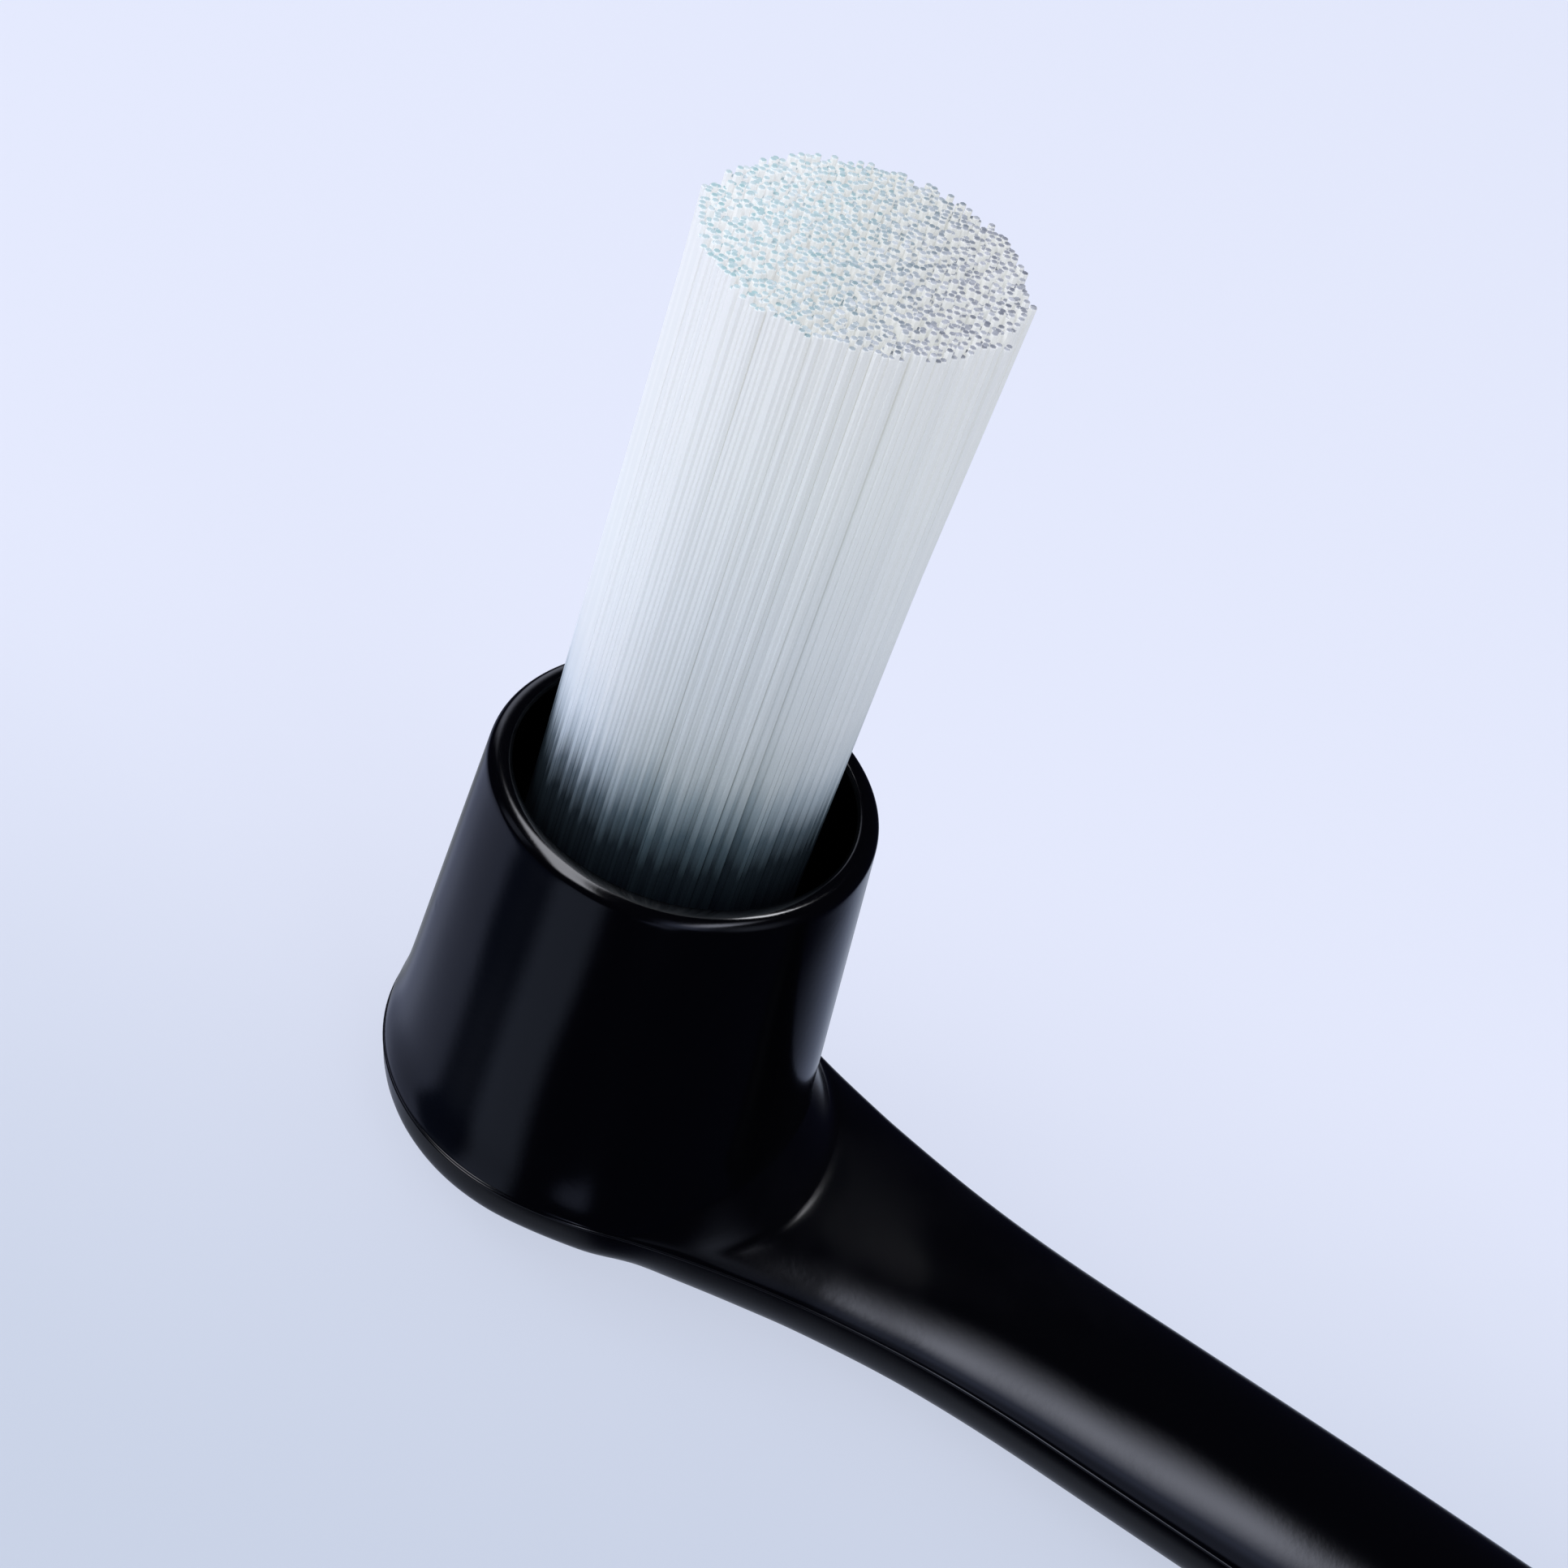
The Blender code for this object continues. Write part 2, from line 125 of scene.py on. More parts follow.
class Graph:
    """A node graph of a material or of the room."""

    def __init__(self, tree: bpy.types.NodeTree) -> None:
        """Take up a node tree."""
        self.tree = tree

    def node(self, kind: str, inputs: Inputs | None = None, **settings: object) -> bpy.types.Node:
        """Add a node.

        Args:
            kind: Its Blender type, without the word that all shader nodes start with.
            inputs: Numbers, colours, Signals or sockets for its inputs, by name or number.
            settings: Its own settings, such as a Math node's operation; stops fills a colour ramp.

        Returns:
            The node.
        """
        node = self.tree.nodes.new(f"ShaderNode{kind}")
        for setting, value in settings.items():
            if setting == "stops":
                self.fill_ramp(node, value)
            else:
                setattr(node, setting, value)
        for key, value in (inputs or {}).items():
            self.feed(node.inputs[key], value)
        return node

    @staticmethod
    def fill_ramp(node: bpy.types.Node, stops: Stops) -> None:
        """Give a colour ramp its stops.

        Args:
            node: The ramp's node.
            stops: Places and their colours, in order.
        """
        elements = node.color_ramp.elements
        while len(elements) < len(stops):
            elements.new(1.0)
        for element, (place, colour) in zip(elements, stops):
            element.position = place
            element.color = (*colour, 1.0)

    def feed(self, socket: bpy.types.NodeSocket, value: object) -> None:
        """Set an input socket, or link it.

        Args:
            socket: The input.
            value: A number, vector or colour to set, or a Signal or output socket to link.
        """
        if isinstance(value, Signal):
            value = value.socket
        if isinstance(value, bpy.types.NodeSocket):
            self.tree.links.new(value, socket)
        else:
            socket.default_value = (*value, 1.0) if socket.type == "RGBA" else value

    def output(self, node: bpy.types.Node, key: object = 0) -> Signal:
        """An output of a node as a Signal."""
        return Signal(self, node.outputs[key])

    def math(self, operation: str, first: object, second: object = 0.0) -> Signal:
        """A Math node for one value or two, of which either may be a number."""
        return self.output(self.node("Math", {0: first, 1: second}, operation=operation))

    def vector_math(self, operation: str, inputs: Inputs, result: str = "Vector") -> Signal:
        """A Vector Math node."""
        return self.output(self.node("VectorMath", inputs, operation=operation), result)

    def noise(self, place: object, scale: float, detail: float = 2.0, roughness: float = 0.5) -> Signal:
        """A cloudy value round 0.5 at a scale in cells per metre."""
        inputs = {"Vector": place, "Scale": scale, "Detail": detail, "Roughness": roughness}
        return self.output(self.node("TexNoise", inputs), "Fac")

    def ramp(self, value: object, stops: Stops) -> Signal:
        """A colour read from stops by a value from 0 to 1."""
        return self.output(self.node("ValToRGB", {"Fac": value}, stops=stops), "Color")

    def span(self, value: object, low: float, high: float, first: float = 0.0, last: float = 1.0) -> Signal:
        """A value stretched from one range to another, held at its ends."""
        inputs = {"Value": value, "From Min": low, "From Max": high, "To Min": first, "To Max": last}
        return self.output(self.node("MapRange", inputs, interpolation_type="SMOOTHSTEP"))

    def blend(self, share: object, first: object, second: object, how: str = "MIX") -> Signal:
        """Two colours mixed by a share."""
        inputs = {0: share, 6: first, 7: second}
        return self.output(self.node("Mix", inputs, data_type="RGBA", blend_type=how), 2)

    def bump(self, height: object, distance: float, **more: object) -> Signal:
        """A bent normal from a height; more holds a strength and a normal to bend."""
        inputs = {"Height": height, "Distance": distance, **more}
        return self.output(self.node("Bump", inputs), "Normal")

    def either(self, share: object, first: object, second: object) -> bpy.types.NodeSocket:
        """Two shaders mixed by a share."""
        return self.node("MixShader", {0: share, 1: first, 2: second}).outputs[0]


class Finish(Graph):
    """The node graph of one material."""

    def __init__(self, name: str) -> None:
        """Start a material that holds its Principled shader and output only.

        Args:
            name: The material's name.
        """
        self.material = bpy.data.materials.new(name)
        self.material.use_nodes = True
        super().__init__(self.material.node_tree)
        self.shader = self.tree.nodes["Principled BSDF"]

    def object_place(self) -> bpy.types.NodeSocket:
        """Position on the piece, in metres."""
        return self.node("TexCoord").outputs["Object"]

    def set(self, **values: object) -> bpy.types.Material:
        """Feed the Principled shader.

        Args:
            values: What its inputs get, by their names with underscores.

        Returns:
            The material.
        """
        for name, value in values.items():
            self.feed(self.shader.inputs[name.replace("_", " ")], value)
        return self.material


@dataclass(frozen=True)
class BlackGloss:
    """Glossy black moulded plastic, with the faint waviness, specks and handling marks of a moulding."""

    colour: Colour = (0.0005, 0.0005, 0.0008)
    worn_colour: Colour = (0.0012, 0.0012, 0.0018)
    roughness: float = 0.13
    worn_roughness: float = 0.24
    refraction: float = 1.5
    smear_noise: tuple[float, float, float] = (55.0, 4.0, 0.62)
    smear_span: tuple[float, float] = (0.5, 0.74)
    wave_scale: float = 70.0
    wave_height: float = 0.00035
    speck_scale: float = 230.0
    speck_span: tuple[float, float] = (0.02, 0.16)
    speck_height: float = 0.00012
    speck_strength: float = 0.7
    speck_field_scale: float = 90.0
    speck_field_span: tuple[float, float] = (0.63, 0.68)
    grain_scale: float = 2600.0
    grain_height: float = 0.000004
    grain_strength: float = 0.6

    def build(self) -> bpy.types.Material:
        """Make the material.

        Returns:
            The material.
        """
        graph = Finish("handle_black_gloss")
        place = graph.object_place()
        smear = graph.span(graph.noise(place, *self.smear_noise), *self.smear_span)
        wave = graph.noise(place, self.wave_scale, 1.0)
        cells = {"Vector": place, "Scale": self.speck_scale, "Randomness": 1.0}
        spots = graph.output(graph.node("TexVoronoi", cells, feature="F1"), "Distance")
        rare = graph.span(graph.noise(place, self.speck_field_scale, 1.0), *self.speck_field_span)
        speck = (1.0 - graph.span(spots, *self.speck_span)) * rare
        grain = graph.noise(place, self.grain_scale)
        low = graph.bump(wave, self.wave_height)
        specked = graph.bump(speck, self.speck_height, Strength=self.speck_strength, Normal=low)
        normal = graph.bump(grain, self.grain_height, Strength=self.grain_strength, Normal=specked)
        colour = graph.blend(smear, self.colour, self.worn_colour)
        roughness = graph.span(smear, 0.0, 1.0, self.roughness, self.worn_roughness)
        return graph.set(Base_Color=colour, Roughness=roughness, IOR=self.refraction, Normal=normal)


@dataclass(frozen=True)
class Nylon:
    """Stiff translucent nylon filament, whitish along its length, with painted shade that darkens it towards
    and inside the cup, painted light on the side away from the grip, and a painted glow.
    """

    # Painted shade: the shaded colour along the filament, nearly black inside the cup and darkening up to
    # just above its mouth.
    along: Stops = (
        (0.26, (0.002, 0.003, 0.006)), (0.33, (0.010, 0.016, 0.022)), (0.375, (0.058, 0.088, 0.108)),
        (0.42, (0.22, 0.275, 0.305)), (0.465, (0.44, 0.49, 0.51)), (0.53, (0.585, 0.63, 0.655)),
        (0.64, (0.695, 0.735, 0.76)), (0.83, (0.81, 0.84, 0.84)), (1.0, (0.87, 0.88, 0.87)))
    # Painted light: the lit colour along the filament, for the side away from the grip.
    along_lit: Stops = (
        (0.26, (0.003, 0.004, 0.006)), (0.33, (0.012, 0.018, 0.024)), (0.37, (0.10, 0.13, 0.16)),
        (0.41, (0.50, 0.57, 0.65)), (0.45, (0.77, 0.83, 0.91)), (0.52, (0.90, 0.93, 0.98)),
        (0.64, (0.94, 0.97, 1.0)), (0.83, (0.95, 0.965, 0.98)), (1.0, (0.96, 0.97, 0.985)))
    # Where the painted light falls across the bundle: full away from the grip, none in the middle, a little
    # on the grip's edge.
    lit_span: tuple[float, ...] = (0.05, 0.5, 1.0, 0.0)
    half_lit_span: tuple[float, ...] = (0.75, 1.0, 0.0, 0.45)
    streak: Colour = (0.92, 0.93, 0.94)
    streak_span: tuple[float, ...] = (0.35, 1.0, 0.0, 0.5)
    cut_aqua: Colour = (0.37, 0.56, 0.60)
    cut_light: Colour = (0.66, 0.74, 0.79)
    cut_grey: Colour = (0.17, 0.185, 0.235)
    cut_pale: Colour = (0.55, 0.57, 0.64)
    grey_span: tuple[float, float] = (0.2, 0.85)
    patch_scale: float = 1500.0
    patch_span: tuple[float, float] = (0.36, 0.64)
    patch_share: float = 0.45
    roughness: float = 0.34
    refraction: float = 1.53
    # Painted glow: the filaments emit a little of their own painted colour, standing in for light scattered
    # through the nylon.
    painted_glow_strength: float = 0.26
    lit_share: float = 0.70

    def build(self) -> bpy.types.Material:
        """Make the material.

        It reads each filament's own attribute: its chance value, the height along it, whether a point lies on
        the cut end, and where it stands across the bundle, from 0 away from the grip to 1 on the grip's side.

        Returns:
            The material.
        """
        graph = Finish("bristle_nylon")
        read = graph.node("Attribute", attribute_name=Bristles.ATTRIBUTE)
        parts = graph.node("SeparateColor", {"Color": read.outputs["Color"]})
        chance, height, cut = (graph.output(parts, number) for number in range(3))
        side = graph.output(read, "Alpha")
        # Painted light and shade: the lit and shaded colours mixed by where the filament stands across the
        # bundle.
        lit = graph.span(side, *self.lit_span) + graph.span(side, *self.half_lit_span)
        along = graph.blend(lit, graph.ramp(height, self.along), graph.ramp(height, self.along_lit))
        tinted = graph.blend(graph.span(chance, *self.streak_span), along, self.streak, "MULTIPLY")
        patch = graph.span(graph.noise(graph.object_place(), self.patch_scale, 1.0), *self.patch_span)
        speckle = chance * (1.0 - self.patch_share) + patch * self.patch_share
        aqua = graph.blend(speckle, self.cut_aqua, self.cut_light)
        grey = graph.blend(speckle, self.cut_grey, self.cut_pale)
        # Painted light and shade on the cut ends: lighter and aqua away from the grip, darker and greyer
        # towards it.
        ends = graph.blend(graph.span(side, *self.grey_span), aqua, grey)
        # Painted glow: the base colour keeps a share, and the filaments' sides emit their painted colour to
        # lift the shade between them; the cut ends don't glow.
        shaded = graph.blend(1.0, tinted, (self.lit_share,) * 3, "MULTIPLY")
        glow = graph.blend(cut, tinted, (0.0, 0.0, 0.0))
        return graph.set(
            Base_Color=graph.blend(cut, shaded, ends), Roughness=self.roughness, IOR=self.refraction,
            Emission_Color=glow, Emission_Strength=self.painted_glow_strength)


@dataclass(frozen=True)
class SetResin:
    """A hidden set filler, resin or glue, with a cloudy colour."""

    name: str
    light: Colour
    dark: Colour
    roughness: float
    cloud_scale: float = 400.0
    cloud_height: float = 0.0002

    def build(self) -> bpy.types.Material:
        """Make the material.

        Returns:
            The material.
        """
        graph = Finish(self.name)
        cloud = graph.noise(graph.object_place(), self.cloud_scale, 4.0)
        colour = graph.blend(cloud, self.dark, self.light)
        normal = graph.bump(cloud, self.cloud_height)
        return graph.set(Base_Color=colour, Roughness=self.roughness, Normal=normal)


# Modelling helpers


def deselect_all() -> None:
    """Leave edit mode and deselect every object."""
    if bpy.context.object and bpy.context.object.mode != "OBJECT":
        bpy.ops.object.mode_set(mode="OBJECT")
    bpy.ops.object.select_all(action="DESELECT")


def only(item: bpy.types.Object) -> None:
    """Make an object the only selected one, and the active one.

    Args:
        item: The object.
    """
    deselect_all()
    item.select_set(True)
    bpy.context.view_layer.objects.active = item


def linked(name: str, data: bpy.types.ID) -> bpy.types.Object:
    """Put a mesh, curve, lamp or camera into the scene.

    Args:
        name: The new object's name.
        data: What the object shows.

    Returns:
        The object.
    """
    item = bpy.data.objects.new(name, data)
    bpy.context.scene.collection.objects.link(item)
    return item


def on_circle(radius: float, angle: float, height: float) -> Vector:
    """A point at a radius, angle and height about the cup's axis."""
    return Vector((radius * math.cos(angle), radius * math.sin(angle), height))


def settle(item: bpy.types.Object, place: Matrix) -> None:
    """Put an object's place into its mesh, so that the object itself lies at the origin.

    Args:
        item: The object.
        place: The frame that it was modelled in, in the brush's frame.
    """
    item.data.transform(place @ item.matrix_world)
    item.matrix_world = Matrix.Identity(4)
    item.data.update()


def dress(item: bpy.types.Object, material: bpy.types.Material, slot: Slot, *nodes: str) -> None:
    """Give a piece its finish, let it ride on the brush and stand for CAD nodes.

    Args:
        item: The piece.
        material: Its finish.
        slot: The record's slot that the finish belongs to; not used.
        nodes: The CAD nodes that it replaces.
    """
    item.data.materials.clear()
    item.data.materials.append(material)
    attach(item, BODY)
    if nodes:
        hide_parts(*nodes)
    log.info("%s: %d faces", item.name, len(item.data.polygons))


class Shaper:
    """Edit-mode modelling of one mesh: an open ring is drawn out again and again, and its points are placed.

    Each vertex keeps the number of its place round the ring and of its row, so that faces can be found again.
    """

    PLACE = "place"
    ROW = "row"

    def __init__(self, name: str, points: Sequence[Vector]) -> None:
        """Start with a filled ring.

        Args:
            name: The piece's name.
            points: Where the ring's vertices go, in order.
        """
        deselect_all()
        bpy.ops.mesh.primitive_circle_add(vertices=len(points), radius=MM, fill_type="NGON")
        self.item = bpy.context.object
        self.item.name = name
        self.item.data.name = name
        bpy.ops.object.mode_set(mode="EDIT")
        mesh = self.mesh()
        place = mesh.verts.layers.int.new(self.PLACE)
        mesh.verts.layers.int.new(self.ROW)
        for index, vertex in enumerate(mesh.verts):
            vertex[place] = index
            vertex.co = points[index]
        self.row = 0
        self.update()

    def mesh(self) -> bmesh.types.BMesh:
        """The mesh being edited."""
        return bmesh.from_edit_mesh(self.item.data)

    def update(self) -> None:
        """Show the last change to the operators."""
        bmesh.update_edit_mesh(self.item.data)

    def layers(self, mesh: bmesh.types.BMesh) -> tuple[object, object]:
        """The layers that hold each vertex's place and row."""
        return mesh.verts.layers.int[self.PLACE], mesh.verts.layers.int[self.ROW]

    def draw_out(self, points: Sequence[Vector]) -> int:
        """Extrude the selected ring and place its new points.

        Args:
            points: Where the new ring's vertices go, by their number round the ring.

        Returns:
            The new row's number.
        """
        bpy.ops.mesh.extrude_edges_move()
        self.row += 1
        self.place_selected(points)
        return self.row

    def close(self) -> None:
        """Fill the selected ring with one face."""
        bpy.ops.mesh.edge_face_add()

    def cut_window(self, inside: Callable[[int, int], bool]) -> None:
        """Delete the faces whose vertices all lie inside, and select the edge of the window.

        Args:
            inside: Says of a place and a row whether a vertex belongs to the window.
        """
        bpy.ops.mesh.select_mode(type="FACE")
        bpy.ops.mesh.select_all(action="DESELECT")
        mesh = self.mesh()
        place, row = self.layers(mesh)
        for face in mesh.faces:
            face.select = all(inside(vertex[place], vertex[row]) for vertex in face.verts)
        self.update()
        bpy.ops.mesh.delete(type="FACE")
        bpy.ops.mesh.select_mode(type="EDGE")
        self.select_open()

    def select_open(self, test: Callable[[Vector], bool] = lambda place: True) -> None:
        """Select open edges.

        Args:
            test: Says of an edge's middle whether the edge is wanted.
        """
        bpy.ops.mesh.select_all(action="DESELECT")
        mesh = self.mesh()
        for edge in mesh.edges:
            if edge.is_boundary and test((edge.verts[0].co + edge.verts[1].co) / 2.0):
                edge.select_set(True)
        self.update()

    def renumber(self, number: Callable[[int, int, Vector], int]) -> None:
        """Give the selected vertices new places, all in one new row.

        Args:
            number: Gives the new place from the old place, the old row and the position.
        """
        self.row += 1
        mesh = self.mesh()
        place, row = self.layers(mesh)
        for vertex in mesh.verts:
            if vertex.select:
                vertex[place] = number(vertex[place], vertex[row], vertex.co)
                vertex[row] = self.row
        self.update()

    def place_selected(self, points: Sequence[Vector]) -> None:
        """Move the selected vertices and count them to the last row.

        Args:
            points: Where they go, by their number round the ring.
        """
        mesh = self.mesh()
        place, row = self.layers(mesh)
        for vertex in mesh.verts:
            if vertex.select:
                vertex.co = points[vertex[place]]
                vertex[row] = self.row
        self.update()

    @staticmethod
    def limit(vertex: bmesh.types.BMVert) -> Vector:
        """Where endless subdivision would draw a vertex of the cage.

        Args:
            vertex: The vertex.

        Returns:
            The place on the smooth skin.
        """
        count = len(vertex.link_edges)
        middles = [face.calc_center_median() for face in vertex.link_faces]
        ends = [edge.other_vert(vertex).co for edge in vertex.link_edges]
        middle_sum = sum(middles, Vector())
        end_sum = sum(ends, Vector())
        point = (middle_sum + count * vertex.co + end_sum + (count - 3) * count * vertex.co) / (count * count)
        edge_sum = (count * vertex.co + end_sum + 2.0 * middle_sum) / 4.0
        return (count * count * point + 4.0 * edge_sum + middle_sum) / (count * (count + 5))

    def hold_form(self, rounds: int = 3) -> None:
        """Widen the cage where subdivision would shrink it, so that the smooth skin runs through its points.

        Args:
            rounds: How often the cage is set right.
        """
        mesh = self.mesh()
        aims = [vertex.co.copy() for vertex in mesh.verts]
        for _round in range(rounds):
            moves = [aim - self.limit(vertex) for vertex, aim in zip(mesh.verts, aims)]
            for vertex, move in zip(mesh.verts, moves):
                vertex.co += move
        self.update()

    def finish(self, levels: int) -> bpy.types.Object:
        """Leave edit mode, subdivide and shade the piece.

        Args:
            levels: How often the cage is subdivided.

        Returns:
            The finished piece.
        """
        bpy.ops.mesh.select_all(action="SELECT")
        bpy.ops.mesh.normals_make_consistent(inside=False)
        self.hold_form()
        bpy.ops.object.mode_set(mode="OBJECT")
        for layer in (self.PLACE, self.ROW):
            self.item.data.attributes.remove(self.item.data.attributes[layer])
        only(self.item)
        smooth = self.item.modifiers.new("soft form", "SUBSURF")
        smooth.levels = levels
        smooth.render_levels = levels
        bpy.ops.object.modifier_apply(modifier=smooth.name)
        bpy.ops.object.shade_smooth()
        return self.item


# Handle


@dataclass
class CupForm:
    """Sizes of the cup, measured along its own axis from the parting line."""

    height: float = 20.75 * MM
    rim_radius: float = 10.0 * MM
    rim_wall: float = 1.2 * MM
    rim_edge: float = 0.75 * MM
    lip_edge: float = 0.3 * MM
    base_radius: float = 11.54 * MM
    foot_flare: float = 0.26 * MM
    foot_height: float = 3.6 * MM
    base_depth: float = 3.9 * MM
    base_edge: float = 3.8 * MM
    floor_wall: float = 2.4 * MM
    bore_draft: float = math.radians(1.2)
    bore_corner: float = 0.8 * MM

    def wall_radius(self, height: float) -> float:
        """Outer radius of the wall.

        Args:
            height: Height above the parting line.

        Returns:
            The tapered radius, with the flare of the foot.
        """
        taper = (self.base_radius - self.rim_radius) / self.height
        straight = self.base_radius - taper * max(height, 0.0)
        return straight + self.foot_flare * (1.0 - ease(height / self.foot_height))

    def foot_radius(self) -> float:
        """Radius at the parting line."""
        return self.wall_radius(0.0)

    def bore_radius(self, height: float) -> float:
        """Radius of the drafted bore at a height."""
        return self.rim_radius - self.rim_wall - (self.height - height) * math.tan(self.bore_draft)

    def bore_floor(self) -> float:
        """Height of the bore's floor."""
        return self.floor_wall - self.base_depth


@dataclass
class GripForm:
    """Sizes of the elbow, neck and grip, measured along their centre line from the cup's axis."""

    cup: CupForm
    elbow_angle: float = math.radians(17.0)
    elbow_start: float = -0.944 * MM
    elbow_radius: float = 22.0 * MM
    flare_radius: float = 72.0 * MM
    neck_crown: float = 2.2 * MM
    crown_blend: float = 48.0 * MM
    depth_blend: float = 14.0 * MM
    web_fillet: float = 2.4 * MM
    length: float = 152.0 * MM
    width: float = 11.9 * MM
    crown: float = 4.1 * MM
    depth: float = 5.05 * MM
    edge: float = 4.2 * MM
    tail_rounding: float = 6.5 * MM
    tail_corner: float = 2.2 * MM

    def centre_line(self, distance: float) -> tuple[float, float, float]:
        """The centre line: straight out of the cup, round the elbow and straight on.

        Args:
            distance: Distance along it from the cup's axis.

        Returns:
            Its x, its z and the angle that it has turned down.
        """
        bend = self.elbow_radius * self.elbow_angle
        turn = min(max(distance - self.elbow_start, 0.0), bend) / self.elbow_radius
        beyond = max(distance - self.elbow_start - bend, 0.0)
        x = self.elbow_radius * math.sin(turn) + beyond * math.cos(self.elbow_angle)
        z = self.elbow_radius * (math.cos(turn) - 1.0) - beyond * math.sin(self.elbow_angle)
        return min(distance, self.elbow_start) + x, z, turn

    def tail_factor(self, distance: float, rounding: float) -> float:
        """Share of the full section that is left near the rounded end."""
        into = max(distance - (self.length - rounding), 0.0) / rounding
        return math.sqrt(max(1.0 - into * into, 0.0))

    def flare(self) -> tuple[float, float]:
        """The curve that leads from the foot's round side into the grip's straight one.

        Returns:
            The distance at which it leaves the foot on a tangent, and the one at which it ends in the grip.
        """
        foot = self.cup.foot_radius()
        end = math.sqrt((foot + self.flare_radius) ** 2 - (self.width / 2.0 + self.flare_radius) ** 2)
        return end * foot / (foot + self.flare_radius), end

    def half_width(self, distance: float) -> float:
        """Half width at the parting line.

        Args:
            distance: Distance from the cup's axis.

        Returns:
            The foot's half width, then the flare's, then the grip's.
        """
        grip = self.width / 2.0
        foot = self.cup.foot_radius()
        tangent, flare_end = self.flare()
        if distance < tangent:
            return math.sqrt(max(foot * foot - distance * distance, MM * MM))
        if distance < flare_end:
            return grip + self.flare_radius - math.sqrt(self.flare_radius ** 2 - (flare_end - distance) ** 2)
        return grip * self.tail_factor(distance, self.tail_rounding)

    def height_above(self, distance: float) -> float:
        """Height of the back above the parting line."""
        blend = ease((distance - self.cup.foot_radius()) / self.crown_blend)
        return mix(self.neck_crown, self.crown, blend) * self.tail_factor(distance, self.tail_corner)

    def depth_below(self, distance: float) -> float:
        """Depth of the underside below the parting line."""
        blend = ease(distance / self.depth_blend)
        return mix(self.cup.base_depth, self.depth, blend) * self.tail_factor(distance, self.tail_corner)

    def edge_radius(self, distance: float) -> float:
        """Width of the rounding between side and underside."""
        blend = ease(distance / self.depth_blend)
        return min(mix(self.cup.base_edge, self.edge, blend), self.half_width(distance))

    def off_centre(self, distance: float, y: float = 0.0, rise: float = 0.0) -> Vector:
        """A point of a section from its side offset and its height over the centre line."""
        x, z, turn = self.centre_line(distance)
        return Vector((x + rise * math.sin(turn), y, z + rise * math.cos(turn)))

    def web_lift(self, point: Vector) -> float:
        """Height of the fillet between the neck's back and the cup's wall.

        Args:
            point: A point on the plain back.

        Returns:
            How far the fillet lifts it.
        """
        outside = math.hypot(point.x, point.y) - self.cup.wall_radius(point.z + self.web_fillet)
        reach = min(max(self.web_fillet - outside, 0.0), self.web_fillet)
        return self.web_fillet - math.sqrt(self.web_fillet ** 2 - reach ** 2)

    def back_point(self, distance: float, angle: float) -> Vector:
        """A point on the back.

        Args:
            distance: Distance from the cup's axis.
            angle: Where on the section, from 0 on the far side to half a turn on the near side.

        Returns:
            The point.
        """
        y = self.half_width(distance) * math.cos(angle)
        up = max(math.sin(angle), 0.0)
        rise = self.height_above(distance) * up
        rise += up * self.web_lift(self.off_centre(distance, y, rise))
        return self.off_centre(distance, y, rise)

    def back_at(self, distance: float, y: float) -> Vector:
        """A point on the back at a side offset."""
        share = min(max(y / self.half_width(distance), -1.0), 1.0)
        return self.back_point(distance, math.acos(share))

    def underside_lengths(self, distance: float) -> tuple[float, float]:
        """Lengths across the underside, measured along its skin.

        Args:
            distance: Distance from the cup's axis.

        Returns:
            The length of one rounded edge, and that of the flat between the two.
        """
        edge = self.edge_radius(distance)
        flat = 2.0 * (self.half_width(distance) - edge)
        return QUARTER_TURN * (edge + self.depth_below(distance)) / 2.0, flat

    def underside_point(self, distance: float, share: float) -> Vector:
        """A point on the underside.

        Args:
            distance: Distance from the cup's axis.
            share: Where across, from 0 on the far side to 1 on the near side.

        Returns:
            The point.
        """
        rounded, flat = self.underside_lengths(distance)
        edge = self.edge_radius(distance)
        depth = self.depth_below(distance)
        inner = self.half_width(distance) - edge
        from_far = share * (2.0 * rounded + flat)
        from_side = min(from_far, 2.0 * rounded + flat - from_far)
        side = 1.0 if share <= 0.5 else -1.0
        if from_side < rounded:
            angle = QUARTER_TURN * from_side / rounded
            y = side * (inner + edge * math.cos(angle))
            return self.off_centre(distance, y, -depth * math.sin(angle))
        return self.off_centre(distance, side * (inner - (from_side - rounded)), -depth)

    def underside_share(self, distance: float, y: float) -> float:
        """The share across the underside at which a point lies.

        Args:
            distance: Distance from the cup's axis.
            y: The point's side offset.

        Returns:
            The share, from 0 on the far side to 1 on the near side.
        """
        rounded, flat = self.underside_lengths(distance)
        edge = self.edge_radius(distance)
        inner = self.half_width(distance) - edge
        total = 2.0 * rounded + flat
        if abs(y) <= inner:
            from_side = rounded + inner - abs(y)
        else:
            from_side = rounded * math.acos(min((abs(y) - inner) / edge, 1.0)) / QUARTER_TURN
        return from_side / total if y >= 0.0 else 1.0 - from_side / total

    def parting_height(self, x: float) -> float:
        """Height of the parting line at an x: level on the cup, and down the elbow past its start."""
        return self.centre_line(self.distance_at(x))[1] if x > self.elbow_start else 0.0

    def distance_at(self, x: float, rise: float = 0.0, attempts: int = 12) -> float:
        """The distance along the centre line at which a point over it has a given x.

        Args:
            x: The point's x.
            rise: Its height over the centre line.
            attempts: How often the guess is set right.

        Returns:
            The distance.
        """
        distance = x
        for _attempt in range(attempts):
            here, _z, turn = self.centre_line(distance)
            distance += x - (here + rise * math.sin(turn))
        return distance


@dataclass
class HangingHole:
    """The hole through the tail."""

    grip: GripForm
    radius: float = 3.2 * MM
    inset: float = 8.6 * MM
    rounding: float = 0.6 * MM
    mouth_steps: tuple[tuple[float, float], ...] = ((1.0, 0.0), (0.45, 0.14), (0.1, 0.5), (0.0, 1.1))

    def centre(self) -> float:
        """Distance of the hole's centre from the cup's axis."""
        return self.grip.length - self.inset

    def outer(self) -> float:
        """Radius at the very mouth."""
        return self.radius + self.rounding


